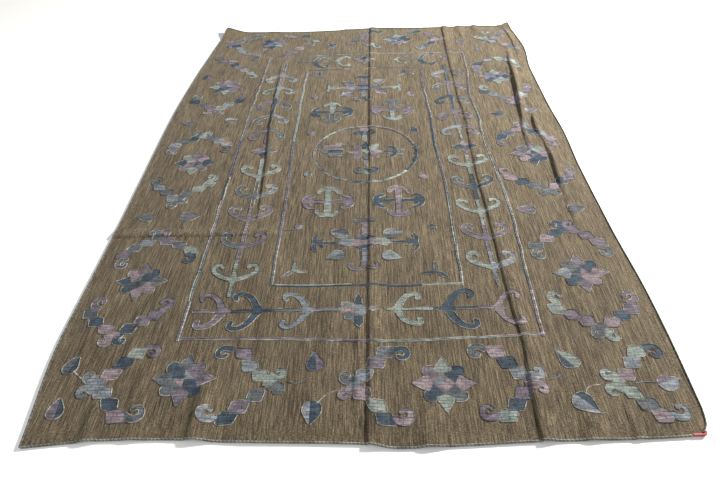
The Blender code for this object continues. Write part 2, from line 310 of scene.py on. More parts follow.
def new_material(name, roughness, sheen):
    """An empty fabric: matt, with the sheen of loose fibres, and the default IOR of a plain fibre."""
    material = bpy.data.materials.new(name)
    material.use_nodes = True
    tree = material.node_tree
    shader = tree.nodes["Principled BSDF"]
    shader.inputs["Roughness"].default_value = roughness
    shader.inputs["Metallic"].default_value = 0.0
    shader.inputs["IOR"].default_value = 1.5
    shader.inputs["Specular IOR Level"].default_value = 0.25
    shader.inputs["Sheen Weight"].default_value = sheen
    shader.inputs["Sheen Roughness"].default_value = 0.5
    return material, tree, shader


def grain(tree, coords, across_mm, along_mm, detail=2.0, roughness=0.55):
    """An uneven grain whose marks are about this many millimetres across and along the rug."""
    scale = (1 / (across_mm * MM), 1 / (along_mm * MM), 1 / (across_mm * MM))
    moved = add(tree, "Mapping", {"Vector": coords, "Scale": scale})
    feeds = {"Vector": moved.outputs[0], "Scale": 1.0, "Detail": detail, "Roughness": roughness}
    return add(tree, "TexNoise", feeds).outputs[0]


def weighted_sum(tree, parts):
    """Adds up grains, each by its weight."""
    total = 0.0
    for part, weight in parts:
        total = add(tree, "Math", {0: part, 1: weight, 2: total}, operation="MULTIPLY_ADD").outputs[0]
    return total


def share_above(tree, value, start, full, most):
    """A second colour's share: none up to one value of a grain, the most from another."""
    return add(tree, "ValToRGB", {0: value}, stops=[(start, "#000000"), (full, most)]).outputs[0]


def mixed(tree, share, first, second):
    """The first colour with a share of the second."""
    return add(tree, "Mix", {0: share, 6: first, 7: second}, data_type="RGBA").outputs[2]


# The ground's tones from its dark yarns to its light ones
GROUND_TONES = [
    (0.39, "#30291f"), (0.455, "#463c2f"), (0.50, "#594f40"), (0.55, "#6b604c"), (0.62, "#83775e"),
]
# A rusty and a greenish wool spun in here and there: its colour, its marks' size in millimetres
# across and along, the grain's values where it starts and is full, and its greatest share
SPUN_IN = [
    ("#6c4b31", 7.0, 40.0, 0.60, 0.76, "#707070"),
    ("#51533c", 9.0, 55.0, 0.56, 0.70, "#808080"),
]


def flatweave():
    """Hand-spun hemp and wool, woven flat: uneven yarns give light and dark streaks and dashes."""
    material, tree, shader = new_material("hand_spun_flatweave", 0.95, 0.06)
    coords = add(tree, "TexCoord").outputs["Object"]
    # Yarns are about 1.5 mm, too fine to show, so streaks and dashes are drawn 2 mm wide and up
    streaks = grain(tree, coords, 2.2, 70.0, roughness=0.6)
    dashes = grain(tree, coords, 7.0, 2.4, roughness=0.6)
    long_streaks = grain(tree, coords, 5.0, 460.0)
    patches = grain(tree, coords, 110.0, 240.0)
    # Painted light: the ground grows slightly lighter towards the far end, standing in for the key light from
    # the back
    along = add(tree, "SeparateXYZ", {0: coords}).outputs[1]
    tone = weighted_sum(tree, [
        (streaks, 0.44), (dashes, 0.33), (long_streaks, 0.14), (patches, 0.09), (along, 0.011),
    ])
    colour = add(tree, "ValToRGB", {0: tone}, stops=GROUND_TONES).outputs[0]
    for code, across_mm, along_mm, start, full, most in SPUN_IN:
        share = share_above(tree, grain(tree, coords, across_mm, along_mm), start, full, most)
        colour = mixed(tree, share, colour, srgb(code))
    tree.links.new(colour, shader.inputs["Base Color"])
    yarn_relief = add(tree, "Math", {0: dashes, 1: streaks}, operation="ADD").outputs[0]
    bump = add(tree, "Bump", {"Strength": 0.7, "Distance": 0.0022, "Height": yarn_relief})
    tree.links.new(bump.outputs[0], shader.inputs["Normal"])
    return material


def embroidery_wool(name, dark, middle, light, second=None, stitches=False):
    """Dyed wool: the dye took unevenly, and some yarns have a second colour twisted in.

    Sewn in rows, it has painted shade in the gaps between its rows and where the stitches of each row go
    through the cloth.
    """
    material, tree, shader = new_material(name, 0.88, 0.08)
    coords = add(tree, "TexCoord").outputs["Object"]
    dye = grain(tree, coords, 34.0, 18.0)
    yarns = grain(tree, coords, 40.0, 5.5)
    tone = weighted_sum(tree, [(dye, 0.38), (yarns, 0.62)])
    stops = [(0.40, dark), (0.50, middle), (0.61, light)]
    colour = add(tree, "ValToRGB", {0: tone}, stops=stops).outputs[0]
    if second:
        twist = share_above(tree, grain(tree, coords, 30.0, 5.5, 1.0), 0.53, 0.62, "#d8d8d8")
        colour = mixed(tree, twist, colour, srgb(second))
    if stitches:
        moved = add(tree, "Mapping", {"Vector": coords, "Location": (0, MIDDLE_ALONG, 0)})
        # Painted shade: the bricks' dark mortar darkens the gaps between rows and stitches
        rows = add(tree, "TexBrick", {
            "Vector": moved.outputs[0], "Scale": 1.0, "Mortar Size": GAP_SHADE_WIDTH, "Mortar Smooth": 0.7,
            "Brick Width": 2 * STITCH_LENGTH, "Row Height": YARNS_IN_ROW * YARN_PITCH,
            "Color1": srgb(middle), "Color2": srgb(light), "Mortar": srgb(dark),
        })
        colour = mixed(tree, 0.45, colour, rows.outputs[0])
    tree.links.new(colour, shader.inputs["Base Color"])
    fibres = grain(tree, coords, 3.0, 1.2, 3.0)
    bump = add(tree, "Bump", {"Strength": 0.5, "Distance": 0.0006, "Height": fibres})
    tree.links.new(bump.outputs[0], shader.inputs["Normal"])
    return material


# Faces that meet more sharply than this many degrees keep a sharp edge
SHARP_ANGLE = 80

def mesh_piece(name, places, faces, materials, material_index=None):
    """One shown piece from its places and faces, riding on the rug's body."""
    mesh = bpy.data.meshes.new(name)
    mesh.from_pydata(places.tolist(), [], faces)
    for material in materials:
        mesh.materials.append(material)
    if material_index is not None:
        mesh.polygons.foreach_set("material_index", material_index)
    mesh.polygons.foreach_set("use_smooth", np.ones(len(mesh.polygons), bool))
    mesh.set_sharp_from_angle(angle=math.radians(SHARP_ANGLE))
    mesh.update()
    piece = bpy.data.objects.new(name, mesh)
    bpy.context.scene.collection.objects.link(piece)
    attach(piece, "root")
    return piece


def ring_faces(count, sides, closed):
    """The faces of a tube of `count` rings with `sides` places each."""
    i = np.arange(count if closed else count - 1)[:, None]
    k = np.arange(sides)[None, :]
    after, beside = (i + 1) % count, (k + 1) % sides
    quads = np.stack(np.broadcast_arrays(
        i * sides + k, i * sides + beside, after * sides + beside, after * sides + k), -1)
    return quads.reshape(-1, 4)


stitched = defaultdict(list)
draw = np.random.default_rng(27)

# A raised line's cross-section: places to its left and right in half widths, and their rise
YARN_SECTION = np.array([(-1.0, -0.25), (0.0, 1.0), (1.0, -0.25)])
CORD_SECTION = np.array([(-1.0, -0.2), (-0.5, 0.95), (0.5, 0.95), (1.0, -0.2)])


def ribbon(thread, path, half, height, section=CORD_SECTION, closed=False):
    """One raised line of thread along a path on the cloth."""
    path = np.asarray(path, float)
    half = np.broadcast_to(half, len(path))
    height = np.broadcast_to(height, len(path))
    if closed:
        run = np.roll(path, -1, 0) - np.roll(path, 1, 0)
    else:
        run = np.gradient(path, axis=0)
    run = run / np.maximum(np.linalg.norm(run, axis=1, keepdims=True), 1e-9)
    side = np.column_stack([run[:, 1], -run[:, 0]])
    spread = path[:, None, :] + side[:, None, :] * (half[:, None] * section[None, :, 0])[..., None]
    lift = height[:, None] * section[None, :, 1]
    stitched[thread].append((spread, lift, closed))


def sewn_piece(name, thread, material):
    """All of one thread's raised lines, joined into one piece and laid on the cloth."""
    flat, lifts, faces, start = [], [], [], 0
    for spread, lift, closed in stitched[thread]:
        count, sides = lift.shape
        flat.append(spread.reshape(-1, 2))
        lifts.append(lift.reshape(-1))
        faces += (ring_faces(count, sides, closed) + start).tolist()
        if not closed:
            faces.append([start + k for k in reversed(range(sides))])
            faces.append([start + (count - 1) * sides + k for k in range(sides)])
        start += count * sides
    flat = np.vstack(flat)
    places = lay(flat[:, 0], flat[:, 1], np.concatenate(lifts))
    return mesh_piece(name, places, faces, [material])


# The ground's grid: its spacings, those of the two stretches of rows at the cross crease, and the
# columns on a fold's flanks as shares of the flank
COLUMN_SPACING = 0.0078
ROW_SPACING = 0.0225
CREASE_SPACINGS = (0.0035, 0.009)
EASY_SHARES = (0.12, 0.28, 0.45, 0.62, 0.8)
STEEP_SHARES = (0.8, 0.6, 0.4, 0.2)


def column_lines():
    """The grid's columns, each a function of the distance along: they follow the sides and folds."""
    lines = [left_side, *crest_lines, right_side]
    steep = [0.0, *[fold.steep for fold in LONG_FOLDS], 0.0]
    easy = [0.0, *[fold.easy for fold in LONG_FOLDS], 0.0]
    columns = []

    def between(a, b, shift_a, shift_b, share):
        return lambda along: (a(along) + shift_a) * (1 - share) + (b(along) - shift_b) * share

    for i, (a, b) in enumerate(zip(lines, lines[1:])):
        clear = b(HALF_WAY) - a(HALF_WAY) - easy[i] - steep[i + 1]
        count = max(2, round(float(clear) / COLUMN_SPACING))
        if easy[i]:
            columns += [between(a, a, share * easy[i], 0, 0) for share in EASY_SHARES]
        columns += [between(a, b, easy[i], steep[i + 1], k / count) for k in range(count + 1)]
        if steep[i + 1]:
            columns += [between(b, b, -share * steep[i + 1], 0, 0) for share in STEEP_SHARES]
            columns.append(b)
    return columns


def row_shares():
    """The grid's rows, as shares of the cloth's length, closer at the cross crease."""
    crease = CROSS_CREASE
    close = [0.0, crease.along - crease.steep, crease.along, crease.along + crease.easy, CLOTH_LENGTH]
    spacings = [ROW_SPACING, *CREASE_SPACINGS, ROW_SPACING]
    rows = []
    for start, end, spacing in zip(close, close[1:], spacings):
        count = round((end - start) / spacing)
        rows += [start + (end - start) * k / count for k in range(count)]
    rows.append(CLOTH_LENGTH)
    return np.array(rows) / CLOTH_LENGTH


def woven_ground(material):
    """The fine cloth: a grid laid on the folds, with an upper face, an underside and a rim."""
    shares = row_shares()
    grid = []
    for column in column_lines():
        along = shares * CLOTH_LENGTH
        for _ in range(SETTLING_STEPS):
            across = column(along) + np.zeros_like(along)
            along = near_end(across) * (1 - shares) + far_end(across) * shares
        grid.append(np.column_stack([across, along]))
    grid = np.array(grid)
    columns, rows = grid.shape[:2]
    across, along = grid[..., 0].ravel(), grid[..., 1].ravel()
    top = lay(across, along, np.zeros_like(across))
    under = lay(across, along, np.full_like(across, -CLOTH_THICKNESS))
    i, j = np.meshgrid(np.arange(columns - 1), np.arange(rows - 1), indexing="ij")
    a = (i * rows + j).ravel()
    upper = np.column_stack([a, a + rows, a + rows + 1, a + 1])
    low = upper[:, ::-1] + columns * rows
    loop = [k * rows for k in range(columns)]
    loop += [(columns - 1) * rows + k for k in range(1, rows)]
    loop += [k * rows + rows - 1 for k in range(columns - 2, -1, -1)]
    loop += list(range(rows - 2, 0, -1))
    rim = [[b, a, a + columns * rows, b + columns * rows] for a, b in zip(loop, loop[1:] + loop[:1])]
    faces = upper.tolist() + low.tolist() + rim
    return mesh_piece("woven_ground", np.vstack([top, under]), faces, [material])


# The outline cord, how much thicker every other place of it is, and the steps at which a shape's
# edge is tested for a neighbour closer than SHARED_EDGE
OUTLINE_HALF = 1.25 * MM
OUTLINE_HEIGHT = 1.75 * MM
OUTLINE_STEP = 6.5 * MM
OUTLINE_BEAD = 0.12
EDGE_TEST_STEP = 3 * MM
SHARED_EDGE = 3.2 * MM
# The steps of soft_curve, in millimetres
CURVE_STEP = 7.0


def soft_curve(points):
    """Points along a soft curve through the given ones; any columns after the second go with them."""
    p = np.asarray(points, float)
    p = np.vstack([2 * p[0] - p[1], p, 2 * p[-1] - p[-2]])
    made = []
    for a, b, c, d in zip(p, p[1:], p[2:], p[3:]):
        count = max(1, round(float(np.linalg.norm((c - b)[:2])) / CURVE_STEP))
        for t in np.arange(count) / count:
            made.append(0.5 * (2 * b + (c - a) * t + (2 * a - 5 * b + 4 * c - d) * t**2
                               + (3 * b - a - 3 * c + d) * t**3))
    made.append(p[-2])
    return np.array(made)


def evenly(path, spacing, closed=False):
    """The same path in even steps, with its sharp corners kept nearly where they are."""
    path = np.asarray(path, float)
    if closed:
        path = np.vstack([path, path[:1]])
    length = np.concatenate([[0], np.cumsum(np.linalg.norm(np.diff(path, axis=0), axis=1))])
    count = max(3, round(float(length[-1]) / spacing))
    at = np.linspace(0, length[-1], count + 1)
    if closed:
        at = at[:-1]
    return np.column_stack([np.interp(at, length, path[:, 0]), np.interp(at, length, path[:, 1])])


def stitch_row(thread, row, start, end):
    """One yarn of a filled shape, pinched where each stitch goes through the cloth."""
    if end - start < SHORTEST_YARN:
        return
    pull = (1 - row % YARNS_IN_ROW) * BUNDLE_PULL
    offset = 0.5 if row // YARNS_IN_ROW % 2 == 0 else 0.0
    shift = offset * STITCH_LENGTH + draw.uniform(-STITCH_STRAY, STITCH_STRAY)
    pinches = np.arange(math.floor(start / STITCH_LENGTH) - 1, math.ceil(end / STITCH_LENGTH) + 1)
    pinches = pinches * STITCH_LENGTH + shift
    at = np.concatenate([pinches, pinches + 0.22 * STITCH_LENGTH, pinches + 0.78 * STITCH_LENGTH])
    rise = np.repeat(STITCH_RISES, len(pinches))
    order = np.argsort(at)
    at, rise = at[order], rise[order]
    inside = (at > start + END_MARGIN) & (at < end - END_MARGIN)
    at = np.concatenate([[start], at[inside], [end]])
    rise = np.concatenate([[END_RISE], rise[inside], [END_RISE]])
    along = (row + 0.5) * YARN_PITCH + pull + draw.uniform(-ROW_STRAY, ROW_STRAY)
    path = np.column_stack([at, np.full_like(at, along)])
    half = YARN_HALF * (0.86 + 0.14 * rise)
    ribbon(thread, path, half, YARN_HEIGHT * rise * draw.uniform(0.9, 1.1), YARN_SECTION)


def fill(thread, shape):
    """Rows of stitches inside a shape, on one lattice for the whole rug."""
    after = np.roll(shape, -1, 0)
    first = math.ceil(shape[:, 1].min() / YARN_PITCH - 0.5)
    last = math.floor(shape[:, 1].max() / YARN_PITCH - 0.5)
    for row in range(first, last + 1):
        y = (row + 0.5) * YARN_PITCH
        cut = (shape[:, 1] > y) != (after[:, 1] > y)
        a, b = shape[cut], after[cut]
        xs = np.sort(a[:, 0] + (y - a[:, 1]) / (b[:, 1] - a[:, 1]) * (b[:, 0] - a[:, 0]))
        for start, end in zip(xs[::2], xs[1::2]):
            stitch_row(thread, row, start, end)


def outline(path, thread, closed):
    """The cord sewn round a shape, or along one stretch of its edge."""
    path = evenly(path, OUTLINE_STEP, closed)
    beads = 1 + OUTLINE_BEAD * (np.arange(len(path)) % 2)
    ribbon(thread, path, OUTLINE_HALF * beads, OUTLINE_HEIGHT * beads, closed=closed)


# Each shape that an outline goes round, with whether it gets one of its own
sewn_shapes = []
# The pattern drifts by up to half of DRIFT, one way in one cell and another in the next
DRIFT_CELL = 0.048
DRIFT = 5.0 * MM


def by_hand(points):
    """Places as a hand would draw them: all the pattern drifts a little, this way and that."""
    x, y = points[:, 0] / DRIFT_CELL + 40, points[:, 1] / DRIFT_CELL + 5
    drift = np.column_stack([soft_noise(41, x, y), soft_noise(42, x, y)]) - 0.5
    return points + DRIFT * drift


def shape(thread, points_mm, outlined=True):
    """A filled shape from its corners in millimetres; its outline cord is sewn last."""
    points = by_hand(np.asarray(points_mm, float) * MM)
    fill(thread, points)
    sewn_shapes.append((points, outlined))


def meets(points, other):
    """Which points lie inside another shape or close enough to its edge to share it."""
    a, b = other, np.roll(other, -1, 0)
    run = b - a
    x, y = points[:, :1] - a[:, 0], points[:, 1:] - a[:, 1]
    rise = np.where(run[:, 1] == 0, 1e-9, run[:, 1])
    crossed = ((a[:, 1] > points[:, 1:]) != (b[:, 1] > points[:, 1:])) & (x < y / rise * run[:, 0])
    share = np.clip((x * run[:, 0] + y * run[:, 1]) / np.maximum((run**2).sum(1), 1e-12), 0, 1)
    away = np.hypot(x - share * run[:, 0], y - share * run[:, 1]).min(1)
    return (crossed.sum(1) % 2 == 1) | (away < SHARED_EDGE)


# Each shape's outline is one of these, picked at random
OUTLINE_THREADS = ("pale", "dim", "pale", "pale", "dark")


def sew_outlines():
    """The outline cords: they go round shapes that touch as round one shape."""
    pick = np.random.default_rng(14)
    low = np.array([points.min(0) for points, _ in sewn_shapes]) - SHARED_EDGE
    high = np.array([points.max(0) for points, _ in sewn_shapes]) + SHARED_EDGE
    for i, (points, outlined) in enumerate(sewn_shapes):
        if not outlined:
            continue
        thread = OUTLINE_THREADS[pick.integers(len(OUTLINE_THREADS))]
        path = evenly(points, EDGE_TEST_STEP, True)
        free = np.ones(len(path), bool)
        for k in np.flatnonzero(((low < high[i]) & (high > low[i])).all(1)):
            if k != i:
                free &= ~meets(path, sewn_shapes[k][0])
        if free.all():
            outline(points, thread, True)
            continue
        breaks = np.flatnonzero(~free)
        turn = np.roll(np.arange(len(path)), -breaks[0] - 1)
        stretch = []
        for k in turn:
            if free[k]:
                stretch.append(path[k])
            if not free[k] or k == turn[-1]:
                if len(stretch) > 3:
                    outline(stretch, thread, False)
                stretch = []


def turned(points, across, along, heading, mirror=1.0, scale=1.0):
    """Points given as (ahead, to the left) from a place, for a heading in degrees from +across."""
    a = math.radians(heading)
    points = np.asarray(points, float)
    ahead, left = points[:, 0] * scale, points[:, 1] * scale * mirror
    place = np.column_stack([
        across + ahead * math.cos(a) - left * math.sin(a),
        along + ahead * math.sin(a) + left * math.cos(a),
    ])
    return np.column_stack([place, points[:, 2:] * scale])


def band(thread, line):
    """A tapering band with a round end; each point of its line is across, along, width."""
    line = soft_curve(line)
    run = np.gradient(line[:, :2], axis=0)
    run /= np.linalg.norm(run, axis=1, keepdims=True)
    side = np.column_stack([run[:, 1], -run[:, 0]]) * line[:, 2:] / 2
    turn = np.radians([30, 60, 90, 120, 150])[:, None]
    cap = line[-1, :2] + np.cos(turn) * side[-1] + np.sin(turn) * run[-1] * line[-1, 2] / 2
    shape(thread, np.vstack([line[:, :2] + side, cap, (line[:, :2] - side)[::-1]]))


# A scroll's and a lobe's widths from lead to tip and their radius, in millimetres
HOOK_WIDTHS = (22.0, 22.0, 21.0, 19.0, 17.0, 15.0, 14.0, 14.0)
LOBE_WIDTHS = (24.0, 23.0, 21.0, 19.0, 17.0, 15.0, 14.0, 14.0)
HOOK_SIZE = 25.0
LOBE_SIZE = 19.0
# The straight lead into a scroll, and how far it winds in, as a share of its radius and a power
LEAD = 22.0
WINDS_IN = 0.58
WINDING = 1.2


def hook(thread, across, along, start, sweep, size=HOOK_SIZE, widths=HOOK_WIDTHS):
    """A scroll round a centre: a short lead, then it winds inwards from an angle in degrees."""
    grown = size / HOOK_SIZE if widths is HOOK_WIDTHS else 1.0
    line = []
    for i, width in enumerate(widths[1:]):
        share = i / (len(widths) - 2)
        angle = math.radians(start + sweep * share)
        radius = size * (1 - WINDS_IN * share**WINDING)
        place = (across + radius * math.cos(angle), along + radius * math.sin(angle))
        line.append((*place, width * grown))
    ahead = math.radians(start + math.copysign(90, sweep))
    lead = LEAD * grown
    place = (line[0][0] - lead * math.cos(ahead), line[0][1] - lead * math.sin(ahead))
    band(thread, [(*place, widths[0] * grown), *line])


def lobe(thread, across, along, start, sweep):
    """One of the two fat rounded scrolls where chains meet."""
    hook(thread, across, along, start, sweep, LOBE_SIZE, LOBE_WIDTHS)


# How far a block's top leans and how unevenly its corners are sewn, in millimetres
BLOCK_LEAN = 4.0
BLOCK_JITTER = 2.2


def block(thread, across, along, lean, width=50.0, height=43.0):
    """One stepped block of a chain, leaning a little the way the chain runs."""
    w, h, s = width / 2, height / 2, lean * BLOCK_LEAN
    corners = [
        (-w + s - 1, h - 6), (-w + s + 5, h), (w + s - 4, h), (w + s + 1, h - 6),
        (w - s + 1, -h + 6), (w - s - 5, -h), (-w - s + 4, -h), (-w - s - 1, -h + 6),
    ]
    jitter = draw.uniform(-BLOCK_JITTER, BLOCK_JITTER, (len(corners), 2))
    shape(thread, np.array(corners) + jitter + (across, along))


def chain(blocks):
    """Blocks in the order they are sewn; each leans towards the next one."""
    for i, (thread, across, along) in enumerate(blocks):
        before = blocks[max(i - 1, 0)]
        after = blocks[min(i + 1, len(blocks) - 1)]
        run = (after[1] - before[1]) * (after[2] - before[2])
        block(thread, across, along, float(np.sign(run)))


# A bud's radius and its length to the tip in millimetres, and the turn from the tip, in radians,
# over which it is drawn out to a point
BUD_RADIUS = 30
BUD_LENGTH = 37
TIP_TURN = 1.2
TIP_DRAW = 6


def drop(thread, other, across, along, heading, size=1.0, bend=0.0):
    """A bud in two colours: its tip is ahead, or bent to the left by a share of its length."""
    turn = np.linspace(0, math.pi, 11)
    ahead = BUD_RADIUS * np.cos(turn) + np.where(turn < TIP_TURN, (TIP_TURN - turn) * TIP_DRAW, 0)
    left = BUD_RADIUS * np.sin(turn) * np.sin(turn / 2) ** 0.75
    for name, mirror in ((thread, 1.0), (other, -1.0)):
        bent = left * mirror + bend * BUD_LENGTH * np.clip(ahead / BUD_LENGTH, 0, 1) ** 2
        shape(name, turned(np.column_stack([ahead, bent]), across, along, heading, 1.0, size))


# A sewn stem's half width and height
STEM_HALF = 2.0 * MM
STEM_HEIGHT = 1.5 * MM


def stem(thread, points):
    """A thin sewn stem, in millimetres."""
    ribbon(thread, by_hand(soft_curve(points)[:, :2] * MM), STEM_HALF, STEM_HEIGHT)


# One quarter of the border's star, in hundredths of its reach: (ahead, to the left)
STAR_TIP = [(34, 0), (47, -29), (60, -24), (100, 0), (60, 24), (47, 29)]
STAR_CORNER = [(34, 0), (49, 26), (62, 29), (65, 44), (58, 60), (44, 65), (29, 62), (26, 49), (0, 34)]
STAR_HEART = [(0, 0), (34, 0), (0, 34)]


def star(across, along, size, *threads):
    """The border's eight-pointed star; threads name those of its tips, its corners and its heart."""
    threads = [names.split() for names in threads]
    for i in range(4):
        for names, part in zip(threads, (STAR_TIP, STAR_CORNER, STAR_HEART)):
            shape(names[i], turned(part, across, along, 90 * i, 1.0, size / 100))


# The arms of hooked pairs and their foot: ahead, to the left, width
PAIR_ARM = [
    (-6, 2, 21), (9, 20, 25), (22, 46, 22), (43, 67, 19), (67, 74, 18), (84, 63, 18), (78, 48, 16),
]
SIDE_PAIR_ARM = [
    (-8, 4, 22), (4, 32, 23), (17, 56, 21), (34, 76, 19), (54, 82, 19), (70, 72, 19), (71, 55, 18),
    (58, 48, 16),
]
PAIR_FOOT = [(-30, 0), (-6, -13), (22, -9), (22, 9), (-6, 13)]


def pair(thread, across, along, heading, left=None, right=None, scale=1.0, arm=PAIR_ARM):
    """A pair of hooked arms that opens from a stem, with a short pointed foot."""
    band(left or thread, turned(arm, across, along, heading, 1.0, scale))
    band(right or thread, turned(arm, across, along, heading, -1.0, scale))
    shape(thread, turned(PAIR_FOOT, across, along, heading, 1.0, scale))


def bar(thread, start, end, width):
    """A straight filled bar between two places in millimetres."""
    start, end = np.array(start, float), np.array(end, float)
    run = (end - start) / np.linalg.norm(end - start)
    side = np.array([run[1], -run[0]]) * width / 2
    shape(thread, [start - side, end - side, end + side, start + side])


# An anchor's head for an arm of this length, and the barb near it
ANCHOR_LENGTH = 95
ANCHOR_ARM = [(95, 0, 23), (90, 22, 23), (76, 37, 19), (60, 41, 15)]
BARB = [(52, 0), (76, -21), (82, -10), (82, 10), (76, 21)]


def anchor(thread, across, along, heading, length, width, scale=1.0, barbed=False):
    """A bar from a centre that ends in a curved head, like an anchor's."""
    arm = np.array(ANCHOR_ARM, float)
    arm[:, 0] += length / scale - ANCHOR_LENGTH
    for mirror in (1.0, -1.0):
        band(thread, turned(arm, across, along, heading, mirror, scale))
    w = width / 2
    shaft = [(8, -w), (length - 8, -w), (length, 0), (length - 8, w), (8, w)]
    shape(thread, turned(shaft, across, along, heading))
    if barbed:
        shape(thread, turned(BARB, across, along, heading))


# The two frames' yarns: how far each lies from the line's middle, their size and their beading
FRAME_OFFSETS = (-2.9 * MM, 2.9 * MM)
FRAME_YARN_HALF = 2.7 * MM
FRAME_YARN_HEIGHT = 1.6 * MM
FRAME_BEAD = 0.10
FRAME_STEP = 8 * MM


def laid_line(points, stretches):
    """Yarns laid side by side along a line; a stretch ends at a share of it and names its yarns."""
    path = by_hand(evenly(soft_curve(points)[:, :2] * MM, FRAME_STEP))
    start = 0
    for share, *threads in stretches:
        end = min(len(path), round(share * len(path)) + 1)
        piece = path[start:end]
        run = np.gradient(piece, axis=0)
        run /= np.linalg.norm(run, axis=1, keepdims=True)
        side = np.column_stack([run[:, 1], -run[:, 0]])
        beads = 1 + FRAME_BEAD * (np.arange(len(piece)) % 2)
        for thread, offset in zip(threads, FRAME_OFFSETS):
            ribbon(thread, piece + side * offset, FRAME_YARN_HALF * beads, FRAME_YARN_HEIGHT * beads)
        start = end - 1


def listed(text):
    """A table's rows from its text: a comma or a new line ends a row of words and numbers."""
    rows = [row.split() for row in text.replace("\n", ",").split(",")]
    return [tuple(w if w[0].isalpha() else float(w) for w in row) for row in rows if row]


def chains(text):
    """Chains of blocks from their text, one chain to a line."""
    return [listed(line) for line in text.strip().split("\n")]


# The pattern, in millimetres. The chains' blocks: thread, across, along
NEAR_CHAINS = chains("""
sage -705 305, indigo -735 268, pink -762 226, blue_grey -795 190
blue_grey -765 160, indigo -730 117, pink -700 78
mauve -360 298, blue_grey -335 252, sage -297 213
slate -302 143, mauve -345 106, indigo -374 70
slate 88 297, mauve 55 256, blue_grey 18 208
pink 14 146, sage 58 102, indigo 82 60
pink 430 296, indigo 460 256, blue_grey 488 214
mauve 488 147, indigo 460 106, sage 430 70
sage 860 290, blue_grey 835 250, pink 802 205
sage 800 143, slate 832 102, pink 858 64
""")
SIDE_CHAINS = chains("""
slate -918 474, indigo -885 437, pink -840 408
indigo -768 408, mauve -730 440, mauve -690 468
mauve -902 776, slate -868 812, blue_grey -826 842
mauve -752 848, slate -697 826, sage -648 798
blue_grey -880 1212, slate -838 1172, blue_grey -802 1128
slate -748 1160, sage -704 1196, sage -668 1228
blue_grey -902 1556, slate -864 1590, indigo -820 1612
slate -740 1618, blue_grey -695 1592, pink -652 1562
indigo -908 2004, slate -858 1970, mauve -812 1934
sage -752 1926, blue_grey -718 1964, indigo -662 2004
indigo -766 2462, mauve -735 2428, pink -700 2388, sage -658 2346
slate -880 2552, mauve -846 2520
sage 665 472, mauve 705 446, mauve 747 414
pink 824 410, indigo 866 438, mauve 905 466
slate 662 788, pink 710 826, indigo 752 862
mauve 822 880, mauve 862 842, mauve 900 800
pink 648 1236, indigo 695 1202, slate 740 1168
pink 824 1166, indigo 860 1198, mauve 896 1228
indigo 670 1570, slate 710 1606, pink 752 1637
indigo 822 1614, blue_grey 862 1592, pink 894 1556
indigo 658 2036, blue_grey 702 2004, mauve 748 1964
pink 815 1952, sage 850 1992, mauve 882 2040
mauve 662 2344, indigo 676 2390, blue_grey 738 2438
sage 806 2454, blue_grey 848 2436, sage 882 2410
""")
FAR_CHAINS = chains("""
slate -722 2888, mauve -752 2864, slate -795 2826, mauve -838 2784
indigo -808 2750, blue_grey -782 2710, blue_grey -760 2664
pink -455 2878, indigo -372 2876, sage -300 2792
slate -340 2742, pink -400 2684, mauve -440 2634
mauve 10 2868, slate -40 2802, mauve -78 2752
mauve 22 2732, sage 45 2706, indigo 55 2916
indigo 345 2908, mauve 420 2868, mauve 447 2806
pink 452 2760, indigo 430 2722, slate 390 2680
mauve 908 2862, slate 862 2806, mauve 838 2764, sage 766 2768
blue_grey 810 2712, pink 880 2662, slate 905 2624
""")

# The scrolls at the chains' ends: thread, across, along, the angle they start at, how far they wind
HOOKS = listed("""
mauve -656 308 118 -270, slate -644 92 240 262, indigo -424 300 62 262, blue_grey -436 90 -60 -262
indigo 136 286 118 -265, pink 138 76 240 262, slate 370 292 62 262, mauve 378 86 -60 -262
indigo 912 284 118 -262, blue_grey 912 82 240 255, mauve -900 524 245 -250, mauve -672 522 -65 250
slate -886 722 112 250, indigo -650 744 70 -250, slate -900 1264 245 -250, sage -668 1280 -70 250
mauve -898 1500 112 250, slate -654 1508 70 -250, slate -898 2056 245 -250, mauve -662 2056 -65 250
mauve -782 2512 250 -230, sage -640 2298 80 -250, mauve -650 2602 110 250, slate -664 2540 60 -230
sage 674 528 245 -250, mauve 912 520 -65 250, slate 668 736 112 250, slate 904 746 70 -250
pink 640 1290 245 -250, mauve 906 1282 -65 250, mauve 672 1514 112 250, mauve 890 1502 70 -250
sage 668 2090 245 -250, mauve 884 2096 -65 250, mauve 664 2290 112 250, sage 885 2356 70 -250
slate -668 2912 200 250, blue_grey -716 2640 190 250, pink -496 2896 0 -250, mauve -478 2610 20 -250
indigo 105 2920 180 250, sage 92 2680 190 250, slate 300 2912 0 -250, blue_grey 350 2650 20 -250
blue_grey 782 2862 0 -250, slate 926 2600 100 -230
""")

# The rounded lobes where two chains meet, in the same terms
LOBES = listed("""
blue_grey -822 216 300 -255, blue_grey -822 156 60 255, sage -240 224 240 255, slate -240 164 120 -255
slate -34 206 300 -255, pink -34 142 60 255, blue_grey 542 216 240 255, pink 542 156 120 -255
sage 748 210 300 -255, sage 748 148 60 255, pink -832 356 30 -255, indigo -776 360 150 255
slate -816 892 -30 255, mauve -766 892 210 -255, slate -800 1080 30 -255, slate -750 1110 150 255
slate -820 1662 -30 255, sage -758 1658 210 -255, pink -820 1884 30 -255, mauve -746 1880 150 255
slate 762 366 30 -255, sage 816 354 150 255, indigo 764 912 -30 255, mauve 816 914 210 -255
slate 764 1122 30 -255, slate 822 1120 150 255, pink 762 1690 -30 255, blue_grey 808 1676 210 -255
pink 768 1920 30 -255, mauve 812 1906 150 255, mauve -864 2824 300 -240, indigo -850 2742 60 240
indigo -190 2732 240 240, mauve -192 2672 120 -240, mauve 0 2800 60 240, pink 500 2790 240 240
sage 724 2790 300 -240, indigo 770 2736 60 240
""")

